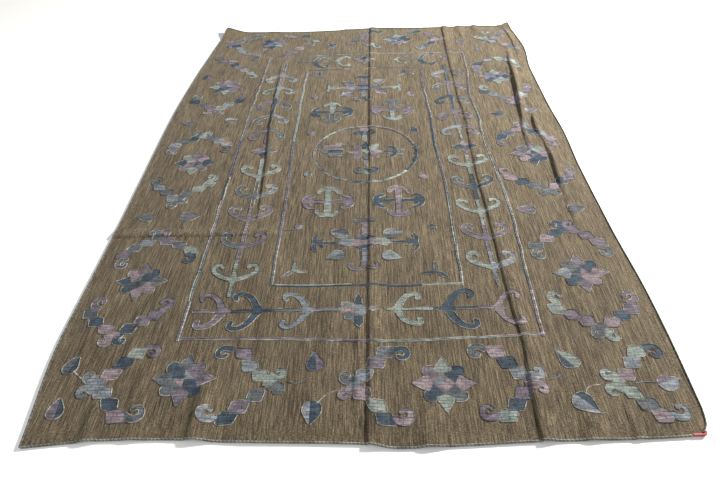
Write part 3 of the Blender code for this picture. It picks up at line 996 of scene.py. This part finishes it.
# The small blocks that join chains and lobes, and their size
NODE_SIZE = (34, 30)
NODES = listed("""
blue_grey -798 187, sage -268 188, blue_grey -8 174, mauve 516 182, sage 774 176, pink -804 384
slate -790 866, slate -776 1124, sage -786 1634, mauve -782 1908, slate 788 392, indigo 788 880
slate 790 1144, pink 786 1656, mauve 790 1936, mauve -846 2772, mauve 744 2764
""")

# Buds: the two halves' threads, across, along, the way the tip points, size, how the tip is bent
BUDS = listed("""
slate indigo -900 260 80 1.1 -0.25, mauve indigo -886 102 100 1.1 -0.2
indigo mauve -133 262 105 1.15 -0.15, indigo blue_grey -130 88 -80 1.2 -0.3
indigo sage 644 264 115 1.25 0.35, indigo blue_grey 655 106 -55 1.25 0.25
mauve blue_grey 918 172 5 1.2 0.5, slate slate -880 1000 172 1.1, mauve slate -700 1002 4 1.25
mauve slate -888 1772 172 1.05, sage mauve -670 1792 10 1.05, indigo mauve -900 2306 95 1.0
mauve mauve 672 1010 176 1.2, slate slate 870 1010 8 1.1, indigo slate 690 1802 176 1.05
blue_grey mauve 860 1828 10 1.05, slate mauve 700 2606 90 0.8, slate mauve 612 2712 -70 1.05
mauve slate -610 2660 70 0.9, mauve sage -242 926 60 0.6, indigo slate 285 912 120 0.6
sage slate -236 1290 90 0.7, mauve pink 270 1262 90 0.75, slate pink -245 1645 80 0.8
indigo indigo 255 1660 120 0.8, mauve pink -258 2030 90 0.8, pink mauve 262 2034 90 0.8
""")

# Thin stems: thread, then the places they pass
STEMS = [
    ("pale", [(-884, 238), (-856, 214), (-830, 192)]), ("slate", [(-214, 192), (-190, 184), (-158, 190)]),
    ("pale", [(-118, 116), (-92, 144), (-52, 164)]), ("slate", [(566, 184), (594, 194), (626, 214)]),
    ("pale", [(664, 136), (680, 160), (726, 174)]), ("mauve", [(676, 84), (690, 74), (704, 78)]),
    ("blue_grey", [(820, 174), (852, 178), (888, 174)]),
    ("slate", [(-700, 976), (-712, 950), (-706, 926)]),
    ("slate", [(-242, 908), (-270, 902), (-300, 902)]),
    ("slate", [(-664, 1766), (-676, 1742), (-672, 1722)]),
]

# Stars: across, along, reach, then the threads of tips, corners and heart, each anticlockwise
STARS = [
    (-530, 205, 98, "mauve slate slate mauve", "mauve indigo slate indigo", "blue_grey indigo pink indigo"),
    (260, 180, 100, "pink sage pink sage", "indigo mauve indigo slate", "pink blue_grey mauve pink"),
    (-790, 630, 96, "slate mauve indigo pink", "indigo pink indigo pink", "indigo slate indigo slate"),
    (-770, 1400, 98, "indigo mauve indigo sage", "pink sage pink mauve", "slate pink mauve indigo"),
    (-765, 2170, 98, "mauve pink sage sage", "mauve mauve indigo mauve", "blue_grey mauve slate indigo"),
    (790, 640, 98, "pink mauve blue_grey mauve", "indigo slate indigo pink", "mauve indigo slate pink"),
    (780, 1420, 98, "pink mauve mauve indigo", "sage slate pink indigo", "indigo pink indigo mauve"),
    (750, 2220, 96, "indigo sage mauve sage", "mauve slate indigo blue_grey", "indigo mauve mauve slate"),
    (-570, 2770, 96, "mauve slate indigo indigo", "mauve indigo mauve sage", "sage mauve slate indigo"),
    (220, 2780, 98, "indigo sage blue_grey mauve", "indigo slate slate pink", "mauve slate blue_grey indigo"),
]

# Hooked pairs on the near band: thread, where they stand, the way they open, size
NEAR_BAND_PAIRS = listed("""
mauve -462 180 1.0, indigo -342 180 1.08, blue_grey -172 180 1.0, sage 130 0 0.92, indigo 298 0 1.1
pink 468 0 0.95
""")
NEAR_BAND_ALONG = 480
# Hooked pairs on the side bands: thread, along, the way they open, then the left and right arms' own
LEFT_BAND_PAIRS = [
    ("sage", 636, 90, None, None), ("mauve", 812, 90, "slate", None), ("mauve", 984, 90, None, None),
    ("slate", 1132, 90, "slate", "blue_grey"), ("sage", 1290, 90, None, None),
    ("mauve", 1674, -90, None, "slate"), ("slate", 1822, -90, None, "blue_grey"),
    ("indigo", 1976, -90, "mauve", "slate"), ("sage", 2140, -90, None, None),
    ("blue_grey", 2290, -90, None, None),
]
RIGHT_BAND_PAIRS = [
    ("blue_grey", 680, 90, "sage", None), ("mauve", 842, 90, None, None), ("sage", 1006, 90, None, None),
    ("indigo", 1172, 90, "slate", None), ("sage", 1340, 90, None, None),
    ("sage", 1676, -90, "blue_grey", "mauve"), ("mauve", 1824, -90, None, None),
    ("indigo", 1992, -90, None, "slate"), ("mauve", 2152, -90, "slate", None),
    ("slate", 2304, -90, "blue_grey", None),
]
LEFT_BAND_STEM = listed("""
sage 545 730, mauve 730 900, pink 900 1060, slate 1060 1240, sage 1240 1420, mauve 1560 1700
slate 1700 1850, indigo 1850 2020, blue_grey 2020 2180, mauve 2180 2330, slate 2330 2480
""")
RIGHT_BAND_STEM = listed("""
blue_grey 610 760, mauve 760 920, sage 920 1080, indigo 1080 1270, sage 1270 1420, sage 1560 1700
mauve 1700 1860, indigo 1860 2010, mauve 2010 2180, slate 2180 2390
""")
left_stem = smooth_line([(540, -455), (1300, -452), (1600, -466), (2480, -460)])
right_stem = smooth_line([(600, 487), (1500, 484), (1900, 474), (2400, 480)])

# The two frames: the places of each side, its stretches and its two yarns in each
OUTER_FRAME = [
    ("""
     -585 362, -300 358, -100 350, 100 343, 300 349, 600 362
     """, """
     0.42 mauve pale, 0.52 mauve mauve, 0.86 pale sage, 1.0 pink pale
     """),
    ("""
     592 352, 598 600, 608 1000, 600 1250, 587 1500, 583 1650, 590 1780, 580 1900, 576 2050, 600 2300
     604 2560
     """, """
     0.1 mauve pale, 0.28 slate pale, 0.42 blue_grey pale, 0.56 pale slate, 0.7 slate sage
     0.84 slate mauve, 1.0 mauve pale
     """),
    ("""
     -590 352, -588 900, -586 1500, -584 1900, -572 2300, -562 2560
     """, """
     0.08 slate pale, 0.2 sage slate, 0.34 pale mauve, 0.42 indigo pale, 0.56 mauve indigo
     0.72 sage slate, 0.86 slate pale, 1.0 pale mauve
     """),
    ("""
     -566 2566, -300 2572, 0 2580, 300 2574, 606 2562
     """, """
     0.2 slate mauve, 0.45 indigo sage, 0.7 slate pale, 1.0 mauve pale
     """),
]
INNER_FRAME = [
    ("""
     -312 602, -200 594, 0 598, 150 590, 366 596
     """, """
     0.42 sage indigo, 0.6 slate slate, 0.78 slate indigo, 1.0 pale sage
     """),
    ("""
     364 590, 366 900, 365 1200, 354 1400, 346 1550, 350 1750, 345 1900, 336 2150, 346 2362
     """, """
     0.12 slate pale, 0.3 pale slate, 0.48 slate mauve, 0.66 indigo slate, 0.84 slate pale
     1.0 mauve slate
     """),
    ("""
     -312 596, -314 900, -316 1200, -325 1500, -327 1900, -325 2364
     """, """
     0.15 slate pale, 0.35 slate mauve, 0.55 mauve slate, 0.8 blue_grey sage, 1.0 blue_grey pale
     """),
    ("""
     -325 2358, -100 2366, 100 2368, 346 2358
     """, """
     0.3 indigo slate, 0.6 slate pale, 1.0 indigo mauve
     """),
]

# The ring: its middle, radius and the angle its stretches start at, then where each ends and its thread
RING_CENTRE = (20, 1460)
RING_RADIUS = 239
RING_START = 14
RING_STRETCHES = listed("""
40 pink, 70 mauve, 104 pink, 126 blue_grey, 150 sage, 168 slate, 196 pink, 220 mauve, 236 pink
252 blue_grey, 272 slate, 290 blue_grey, 322 sage, 340 indigo, 374 indigo
""")
# The ring's three yarns lie this far from its middle, and a dark cord runs inside them
RING_OFFSETS = (-4.2, 0, 4.2)
RING_YARN_HALF = 2.2 * MM
RING_YARN_HEIGHT = 1.6 * MM
RING_STEP_DEGREES = 1.9
DARK_RING_OFFSET = -7.6
DARK_RING_HALF = 1.1 * MM
DARK_RING_HEIGHT = 1.4 * MM
DARK_RING_STEP_DEGREES = 2.2
# The angles of the three dark blocks on the ring
RING_BEADS = (-15, -3, 9)
# The hooked cross in the ring, each part with the function that sews it
MEDALLION_PARTS = [
    (bar, "blue_grey", (15, 1560), (15, 1650), 18), (block, "pink", 12, 1672, 0, 40, 34),
    (hook, "indigo", -18, 1632, 20, 230, 24), (hook, "indigo", 46, 1630, 160, -230, 24),
    (bar, "mauve", (24, 1350), (24, 1392), 16), (block, "sage", 26, 1296, 0, 28, 30),
    (hook, "slate", -6, 1318, -20, -230, 26), (hook, "indigo", 54, 1320, 200, 230, 26),
    (bar, "sage", (-122, 1538), (-76, 1540), 15), (bar, "pink", (-182, 1520), (-92, 1522), 17),
    (bar, "mauve", (-196, 1496), (-88, 1498), 19), (bar, "indigo", (-152, 1476), (-88, 1478), 14),
    (bar, "slate", (-190, 1456), (-92, 1458), 17), (bar, "blue_grey", (-150, 1434), (-80, 1436), 15),
    (anchor, "indigo", 90, 1462, 0, 70, 14, 0.95),
    (bar, "sage", (160, 1478), (205, 1484), 14), (bar, "blue_grey", (160, 1446), (200, 1438), 14),
    (shape, "indigo", [(20, 1552), (0, 1512), (20, 1488), (40, 1512)]),
    (shape, "slate", [(26, 1388), (2, 1428), (26, 1452), (48, 1428)]),
    (shape, "sage", [(20, 1488), (0, 1470), (24, 1452), (44, 1470)]),
    (shape, "mauve", [(0, 1512), (-44, 1524), (-30, 1480), (0, 1470)]),
    (shape, "pink", [(-30, 1480), (-72, 1462), (-30, 1440), (0, 1470)]),
    (shape, "mauve", [(0, 1470), (-30, 1440), (-36, 1400), (2, 1428)]),
    (shape, "sage", [(40, 1512), (84, 1536), (74, 1486), (44, 1470)]),
    (shape, "pink", [(44, 1470), (74, 1486), (112, 1464), (72, 1446)]),
    (shape, "mauve", [(44, 1470), (72, 1446), (84, 1404), (48, 1428)]),
]


def on_ring(angles, offset=0):
    """Places on the ring at angles in radians, or this far outside it."""
    across, along = RING_CENTRE
    radius = RING_RADIUS + offset
    return np.column_stack([across + radius * np.cos(angles), along + radius * np.sin(angles)])


def round_medallion():
    """The ring in the middle of the field and the hooked cross in it."""
    start = RING_START
    for end, thread in RING_STRETCHES:
        angles = np.radians(np.arange(start, end + 0.1, RING_STEP_DEGREES))
        outer = "dim" if thread == "indigo" else "pale"
        for offset, name in zip(RING_OFFSETS, (thread, thread, outer)):
            ribbon(name, on_ring(angles, offset) * MM, RING_YARN_HALF, RING_YARN_HEIGHT)
        start = end
    path = on_ring(np.radians(np.arange(0, 360, DARK_RING_STEP_DEGREES)), DARK_RING_OFFSET)
    ribbon("dark", path * MM, DARK_RING_HALF, DARK_RING_HEIGHT, closed=True)
    for across, along in on_ring(np.radians(RING_BEADS)):
        block("indigo", across, along, 0, 26, 20)
    for part, *values in MEDALLION_PARTS:
        part(*values)


# Small crosses: across, along, the upright's thread, the crossbar's, and the lower head's
SMALL_CROSSES = [
    (-135, 1084, "sage", "mauve", "sage"), (160, 1084, "pink", "indigo", "mauve"),
    (-155, 1850, "sage", "indigo", "slate"), (157, 1860, "slate", "mauve", "sage"),
]
SMALL_CROSS_HEART = [(-12, -14), (12, -14), (12, 14), (-12, 14)]


def small_cross(across, along, upright, crossbar, lower):
    """A cross of four anchors, two of them barbed."""
    anchor(crossbar, across, along, 0, 98, 22, barbed=True)
    anchor(crossbar, across, along, 180, 98, 22, barbed=True)
    anchor(upright, across, along, 90, 96, 26)
    anchor(lower, across, along, -90, 96, 26)
    shape(upright, np.array(SMALL_CROSS_HEART) + (across, along), False)


# The diamond crosses' parts, from their middle: which of the cross's threads, then the corners
DIAMOND_PARTS = [
    (0, [(-42, 24), (0, 54), (42, 24), (0, 14)]),
    (1, [(-50, 2), (-42, 24), (0, 14), (42, 24), (50, 2), (42, -16), (0, -12), (-42, -16)]),
    (0, [(-42, -16), (0, -12), (42, -16), (0, -50)]),
    (2, [(-42, 24), (-50, 2), (-42, -16), (-76, -20), (-112, 0), (-76, 26)]),
    (3, [(42, 24), (50, 2), (42, -16), (78, -20), (112, 0), (78, 28)]),
    (4, [(-180, 7), (-96, 7), (-96, -7), (-180, -7)]),
    (4, [(180, 7), (96, 7), (96, -7), (180, -7)]),
    (1, [(-13, 30), (-12, 122), (12, 122), (13, 30)]),
    (5, [(-40, 122), (-46, 136), (-30, 146), (30, 146), (46, 136), (40, 122)]),
    (2, [(-12, -28), (-12, -104), (12, -104), (12, -28)]),
]
# Their side crescents and foot scrolls as bands: thread, then across, along, width
DIAMOND_BANDS = [
    (4, [(-186, 50, 10), (-196, 26, 17), (-190, 0, 20), (-196, -26, 17), (-184, -50, 10)]),
    (4, [(186, 50, 10), (198, 26, 17), (192, 0, 20), (198, -26, 17), (186, -50, 10)]),
    (4, [(-160, 22, 6), (-178, 4, 16), (-160, -20, 6)]),
    (4, [(160, 22, 6), (178, 4, 16), (160, -20, 6)]),
    (6, [(-6, -100, 14), (-6, -130, 13), (-22, -148, 12), (-46, -146, 12),
         (-58, -126, 12), (-50, -110, 11)]),
    (6, [(8, -100, 14), (8, -130, 13), (22, -148, 12), (40, -146, 12), (48, -128, 12), (42, -112, 11)]),
]
# Where they stand, their threads, and the leaves between the arms: thread, second thread, place, heading
DIAMOND_CROSSES = [
    (20, 822, "indigo pink blue_grey sage indigo slate mauve", [
        ("blue_grey", "slate", -98, 56, 160), ("blue_grey", "slate", 108, 50, 10),
        ("slate", "blue_grey", -108, -70, 205), ("sage", "blue_grey", 98, -74, -20),
    ]),
    (8, 2122, "indigo mauve blue_grey slate sage indigo indigo", [
        ("mauve", "slate", -84, 52, 150), ("sage", "mauve", 88, 74, 30),
        ("mauve", "blue_grey", -92, -72, 215), ("mauve", "pink", 96, -54, -30),
    ]),
]


def diamond_cross(across, along, threads, leaves):
    """The layered diamond with an arm on each side and a leaf between each two."""
    threads = threads.split()
    place = np.array([across, along], float)
    for which, corners in DIAMOND_PARTS:
        shape(threads[which], np.array(corners, float) + place)
    for which, line in DIAMOND_BANDS:
        band(threads[which], np.array(line, float) + (across, along, 0))
    for thread, other, x, y, heading in leaves:
        drop(thread, other, across + x, along + y, heading, 1.2)


SPRIG_LEAF = [(-6, 0, 9), (22, 0, 17), (50, 0, 9)]


def sprig(across, along, threads, lean):
    """The three-leaved sprig in a corner of the field."""
    for thread, heading in zip(threads, (90, 90 + 95 * lean, 90 - 130 * lean)):
        band(thread, turned(SPRIG_LEAF, across, along, heading))


# Sprigs: across, along, the threads of the leaves, and the side they lean to
SPRIGS = [
    (-240, 672, ("sage", "sage", "mauve"), -1), (278, 655, ("slate", "indigo", "indigo"), 1),
    (-250, 2292, ("indigo", "mauve", "slate"), 1), (240, 2290, ("indigo", "slate", "pink"), -1),
]
# The diamond where a band's two halves meet: up, down, left, right and middle
HEART_PARTS = [
    [(0, 52), (-22, 22), (0, 4), (22, 22)], [(0, -52), (-22, -22), (0, -4), (22, -22)],
    [(-4, 0), (-24, 24), (-62, 0), (-24, -24)], [(4, 0), (24, 24), (62, 0), (24, -24)],
    [(0, 9), (-9, 0), (0, -9), (9, 0)],
]


def band_heart(across, along, threads):
    """That diamond in its threads; its middle has no outline of its own."""
    for thread, corners in zip(threads, HEART_PARTS):
        shape(thread, np.array(corners) + (across, along), corners is not HEART_PARTS[-1])


# The near band's stem, and its middle where the two halves meet
NEAR_BAND_STEM = [
    ("mauve", -570, -440), ("indigo", -440, -290), ("slate", -290, -170), ("blue_grey", -170, -62),
    ("sage", 92, 250), ("indigo", 250, 405), ("mauve", 405, 500),
]
NEAR_HEART = [
    ("indigo", [(-16, 504), (-14, 532), (-3, 556), (10, 532), (12, 504)]),
    ("indigo", [(-14, 450), (-16, 422), (2, 398), (16, 420), (16, 450)]),
    ("pink", [(-62, 492), (-60, 470), (-14, 466), (-12, 494)]),
    ("sage", [(-58, 514), (-62, 492), (-12, 494), (-16, 512)]),
    ("slate", [(-52, 466), (-48, 434), (-14, 434), (-14, 466)]),
    ("blue_grey", [(-12, 504), (-12, 452), (18, 452), (34, 478), (18, 502)]),
    ("pink", [(34, 478), (46, 490), (68, 478), (46, 464)]),
]
# The right tree's foot, the side bands' middles and the far band, each with what sews it
FAR_BAND = [
    (shape, "slate", [(478, 640), (496, 640), (488, 575)]),
    (band_heart, -458, 1490, ("mauve", "indigo", "mauve", "slate", "sage")),
    (band_heart, 484, 1490, ("pink", "mauve", "indigo", "indigo", "slate")),
    (pair, "indigo", -292, 2474, 0, "slate", "indigo"),
    (bar, "slate", (-385, 2474), (-290, 2474), 12), (bar, "slate", (-262, 2474), (-120, 2474), 12),
    (pair, "sage", -150, 2478, 0, None, None, 0.85),
    (band_heart, 8, 2490, ("indigo", "mauve", "mauve", "blue_grey", "indigo")),
    (pair, "sage", 200, 2478, 0, None, None, 0.7), (bar, "slate", (240, 2478), (330, 2480), 14),
    (pair, "slate", 336, 2480, 0, "slate", "indigo", 1.05),
    (drop, "slate", "mauve", 484, 2492, 90, 0.9),
]


def bands():
    """The three hooked bands between the two frames, and the broken one at the far end."""
    for thread, across, heading, size in NEAR_BAND_PAIRS:
        pair(thread, across, NEAR_BAND_ALONG, heading, scale=size)
    for thread, start, end in NEAR_BAND_STEM:
        bar(thread, (start, NEAR_BAND_ALONG), (end, NEAR_BAND_ALONG), 12)
    for thread, corners in NEAR_HEART:
        shape(thread, corners)
    for pairs, stems, line in (
        (LEFT_BAND_PAIRS, LEFT_BAND_STEM, left_stem), (RIGHT_BAND_PAIRS, RIGHT_BAND_STEM, right_stem),
    ):
        for thread, along, heading, left, right in pairs:
            if heading == -90:
                left, right = right, left
            pair(thread, float(line(along)), along, heading, left, right, 1.0, SIDE_PAIR_ARM)
        for thread, start, end in stems:
            bar(thread, (float(line(start)), start), (float(line(end)), end), 15)
    for part, *values in FAR_BAND:
        part(*values)


def sew_pattern():
    """All of the pattern, in the order it is sewn; the outline cords come last."""
    for points, stretches in [*OUTER_FRAME, *INNER_FRAME]:
        laid_line(listed(points), listed(stretches))
    for blocks in [*NEAR_CHAINS, *SIDE_CHAINS, *FAR_CHAINS]:
        chain(blocks)
    nodes = [(*row, 0, *NODE_SIZE) for row in NODES]
    parts = ((hook, HOOKS), (lobe, LOBES), (block, nodes), (drop, BUDS), (stem, STEMS), (star, STARS))
    for part, rows in parts:
        for row in rows:
            part(*row)
    bands()
    round_medallion()
    for part, rows in ((small_cross, SMALL_CROSSES), (diamond_cross, DIAMOND_CROSSES), (sprig, SPRIGS)):
        for row in rows:
            part(*row)
    sew_outlines()


# Slubs: the steps along one, the shortest, how far it strays, its height, the ends and the sides that
# they keep to, and the near right corner that they keep out of
SLUB_STEP = 32 * MM
SHORTEST_SLUB = 0.025
SLUB_STRAY = 0.004
SLUB_HEIGHT = 0.55 * MM
SLUB_ENDS = (0.03, 2.90)
SLUB_SIDES = 0.93
SLUB_FREE_CORNER = (0.905, 0.06)


def slubs(thread, count, seed, longest):
    """Thick places in the hand-spun yarn: low soft ridges along the rug."""
    pick = np.random.default_rng(seed)
    for _ in range(count):
        length = pick.uniform(SHORTEST_SLUB, longest)
        start = pick.uniform(SLUB_ENDS[0], SLUB_ENDS[1] - length)
        across = pick.uniform(-SLUB_SIDES, SLUB_SIDES)
        half = pick.uniform(0.8, 1.4) * MM
        wander = pick.uniform(-SLUB_STRAY, SLUB_STRAY)
        t = np.linspace(0, 1, max(4, round(length / SLUB_STEP)))
        path = np.column_stack([across + wander * t, start + length * t])
        taper = np.clip(np.minimum(t, 1 - t) * 4, 0.15, 1)
        if abs(across) < SLUB_FREE_CORNER[0] or start > SLUB_FREE_CORNER[1]:
            ribbon(thread, path, half * taper, SLUB_HEIGHT * taper, YARN_SECTION)


# The overcasting: its stitches' pitch and slant, the rings and sides of its mesh, how full each ring
# of a stitch is, its radius at the ends and the sides, and how far out its middle lies
STITCH_PITCH = 5.5 * MM
STITCH_SLANT = 2.2 * MM
RINGS_PER_STITCH = 3
RING_SIDES = 6
STITCH_FULLNESS = (0.82, 1.0, 0.99)
END_RADIUS = 3.8 * MM
SIDE_RADIUS = 3.1 * MM
OUT_SHARE = 0.6
# The rings that the red whipping takes the place of
WHIPPED_RINGS = {"near_end_cord": slice(None, -14), "right_side_cord": slice(2, None)}
# The red whipping at the near right corner: where it runs, its radius, slant, steps and fullness
WHIPPING = [
    (0.917, 0.0065), (0.930, 0.0070), (0.9415, 0.0065), (0.9475, 0.0070), (0.9525, 0.0110),
    (0.9550, 0.0170),
]
WHIPPING_RADIUS = 4.6 * MM
WHIPPING_SLANT = 0.8 * MM
WHIPPING_STEP = 1.1 * MM
WHIPPING_FULLNESS = (0.84, 1.0)


def rope(name, path, radius, fullness, materials, slant=STITCH_SLANT):
    """Thread wound round an edge: a tube with a ridge for each turn.

    The path holds across, along and height.
    """
    path = np.asarray(path)
    run = np.gradient(path, axis=0)
    run /= np.linalg.norm(run, axis=1, keepdims=True)
    side = np.column_stack([run[:, 1], -run[:, 0], np.zeros(len(run))])
    side /= np.linalg.norm(side, axis=1, keepdims=True)
    up = np.cross(side, run)
    angle = np.linspace(0, 2 * math.pi, RING_SIDES, endpoint=False)
    radius = radius * np.array(fullness)[np.arange(len(path)) % len(fullness)]
    out = side[:, None] * np.cos(angle)[None, :, None] + up[:, None] * np.sin(angle)[None, :, None]
    places = path[:, None] + out * radius[:, None, None]
    places = places + run[:, None] * (slant * np.cos(angle))[None, :, None]
    faces = ring_faces(len(path), RING_SIDES, False)[:, ::-1].tolist()
    faces.append(list(range(RING_SIDES)))
    faces.append([(len(path) - 1) * RING_SIDES + k for k in reversed(range(RING_SIDES))])
    stitch = np.arange(len(path) - 1) // RINGS_PER_STITCH % len(materials)
    index = np.concatenate([np.repeat(stitch, RING_SIDES), [0, 0]])
    return mesh_piece(name, places.reshape(-1, 3), faces, materials, index)


def edge_path(points, outward, spacing, radius):
    """The middle of the overcasting along an edge: just outside it and at the cloth's own height."""
    points = evenly(points, spacing)
    run = np.gradient(points, axis=0)
    run /= np.linalg.norm(run, axis=1, keepdims=True)
    side = np.column_stack([run[:, 1], -run[:, 0]])
    side *= np.sign(side @ np.array(outward))[:, None]
    place = points + side * OUT_SHARE * radius
    height = underside(points[:, 0], points[:, 1]) + radius
    return np.column_stack([place[:, 0], place[:, 1] - MIDDLE_ALONG, height])


def overcast_edges(pale, shaded, coral, side_shade):
    """The overcasting on the four sides, and the red whipping at the near right corner."""
    made = []
    for node, line, places, outward in (
        ("near_end_cord", near_end, NEAR_END, (0, -1)),
        ("far_end_cord", far_end, FAR_END, (0, 1)),
        ("left_side_cord", left_side, LEFT_SIDE, (-1, 0)),
        ("right_side_cord", right_side, RIGHT_SIDE, (1, 0)),
    ):
        at_side = outward[0] != 0
        at = np.linspace(places[0][0], places[-1][0], 600 if at_side else 400)
        points = np.column_stack([line(at), at] if at_side else [at, line(at)])
        radius = SIDE_RADIUS if at_side else END_RADIUS
        # The sides take only the darker wools: painted shade on the side edges. The ends alternate two tones
        # stitch by stitch.
        wool = [shaded, shaded, side_shade] if at_side else [pale, shaded]
        path = edge_path(points, outward, STITCH_PITCH / RINGS_PER_STITCH, radius)
        path = path[WHIPPED_RINGS.get(node, slice(None))]
        name = node.replace("cord", "overcasting")
        piece = rope(name, path, radius, STITCH_FULLNESS, wool)
        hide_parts(node)
        made.append(piece)
    corner = evenly(WHIPPING, WHIPPING_STEP)
    height = underside(corner[:, 0], corner[:, 1]) + WHIPPING_RADIUS
    path = np.column_stack([corner[:, 0], corner[:, 1] - MIDDLE_ALONG, height])
    piece = rope("red_corner_whipping", path, WHIPPING_RADIUS, WHIPPING_FULLNESS, [coral],
                 WHIPPING_SLANT)
    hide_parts("corner_whipping")
    made.append(piece)
    return made


ground = woven_ground(flatweave())
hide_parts("kilim_cloth")
sew_pattern()
slubs("light_slub", 1300, 5, 0.095)
slubs("dark_slub", 2500, 6, 0.140)

# Each thread's piece: its name, the thread, its slot, then its dark, middle and light tone and the
# colour twisted in
THREADS = [
    ("indigo_embroidery", "indigo", "indigo_thread", "#0a1621 #182f43 #37556a #31485e"),
    ("slate_embroidery", "slate", "slate_thread", "#222a33 #404b56 #6c777d #5a5762"),
    ("blue_grey_embroidery", "blue_grey", "blue_grey_thread", "#333e49 #616d78 #98a0a7 #737681"),
    ("mauve_embroidery", "mauve", "mauve_thread", "#342e3a #5c5261 #888090 #515b6b"),
    ("pink_embroidery", "pink", "pink_thread", "#43363f #756870 #a899a1 #62626e"),
    ("sage_embroidery", "sage", "sage_thread", "#394644 #6b7975 #a5afaa #6e7a7a"),
    ("pale_outline_cord", "pale", "outline_thread", "#53544e #7f807a #acaca6 #73727a"),
    ("dim_outline_cord", "dim", "outline_thread", "#3a3e3f #5b5d5c #7b7c77 #67676b"),
    ("dark_outline_cord", "dark", "outline_thread", "#2a2c2c #3e4244 #535859"),
    ("light_hemp_slubs", "light_slub", "kilim_ground", "#51483a #665c48 #7f745c"),
    ("dark_wool_slubs", "dark_slub", "kilim_ground", "#2b251c #383026 #484134"),
]
for name, thread, slot, tones in THREADS:
    in_rows = name.endswith("embroidery")
    wool = embroidery_wool(name.replace("embroidery", "wool"), *tones.split(), stitches=in_rows)
    sewn_piece(name, thread, wool)
# The last wool is painted shade, used only on the sides.
edging = overcast_edges(
    embroidery_wool("pale_edging_wool", "#585c53", "#70736a", "#878b82"),
    embroidery_wool("shaded_edging_wool", "#3f433d", "#53564f", "#676a62"),
    embroidery_wool("coral_wrapping_wool", "#813437", "#9a484b", "#ad6768"),
    embroidery_wool("painted_side_shade_wool", "#2c2f29", "#3d4038", "#51544b"),
)


FLOOR_REACH = 14.0


def studio_floor():
    """A plain pale floor."""
    mesh = bpy.data.meshes.new("studio_floor")
    corners = [(x * FLOOR_REACH, y * FLOOR_REACH, 0) for x, y in ((-1, -1), (1, -1), (1, 1), (-1, 1))]
    mesh.from_pydata(corners, [], [(0, 1, 2, 3)])
    material, _, shader = new_material("matt_white_floor", 0.9, 0.0)
    shader.inputs["Base Color"].default_value = srgb("#fcfcfc")
    mesh.materials.append(material)
    floor = bpy.data.objects.new("studio_floor", mesh)
    bpy.context.scene.collection.objects.link(floor)


def soft_lamp(name, place, target, size, power, code="#ffffff"):
    """A square soft lamp at a place, aimed at a target, with its size in metres and power in watts."""
    lamp = bpy.data.lights.new(name, "AREA")
    lamp.shape = "SQUARE"
    lamp.size = size
    lamp.energy = power
    lamp.color = srgb(code)[:3]
    holder = bpy.data.objects.new(name, lamp)
    holder.location = place
    holder.rotation_euler = (Vector(target) - Vector(place)).to_track_quat("-Z", "Y").to_euler()
    bpy.context.scene.collection.objects.link(holder)


def studio_light():
    """One large soft key from the back right, as in the photograph, and a weak fill from the front."""
    world = bpy.data.worlds.new("studio_surround")
    world.use_nodes = True
    world.node_tree.nodes["Background"].inputs["Color"].default_value = srgb("#ffffff")
    world.node_tree.nodes["Background"].inputs["Strength"].default_value = 0.38
    bpy.context.scene.world = world
    soft_lamp("back_right_key", (5.4, 2.05, 2.95), (0.1, 0.2, 0), 0.8, 1270, "#fffaf2")
    soft_lamp("front_left_fill", (-2.5, -3.5, 4.0), (0, 0, 0), 3.0, 80)


# The camera's place, its turns in radians and its lens in millimetres, as solved from the photograph
CAMERA_PLACE = (0.06599, -2.32493, 1.46241)
YAW, PITCH, ROLL = -0.03873, 0.71641, 0.0426
LENS = 28.8
FILM_WIDTH = 36.0


def photo_camera():
    """The camera at the photograph's place and angle."""
    level = Vector((math.cos(YAW), -math.sin(YAW), 0))
    ahead = Vector((math.sin(YAW) * math.cos(PITCH), math.cos(YAW) * math.cos(PITCH), -math.sin(PITCH)))
    down = ahead.cross(level)
    right = level * math.cos(ROLL) + down * math.sin(ROLL)
    below = down * math.cos(ROLL) - level * math.sin(ROLL)
    data = bpy.data.cameras.new("photo_camera")
    data.lens = LENS
    data.sensor_width = FILM_WIDTH
    camera = bpy.data.objects.new("photo_camera", data)
    turn = Matrix((right, -below, -ahead)).transposed().to_4x4()
    camera.matrix_world = Matrix.Translation(CAMERA_PLACE) @ turn
    bpy.context.scene.collection.objects.link(camera)
    bpy.context.scene.camera = camera


studio_floor()
studio_light()
photo_camera()
bpy.context.scene.view_settings.view_transform = "Standard"
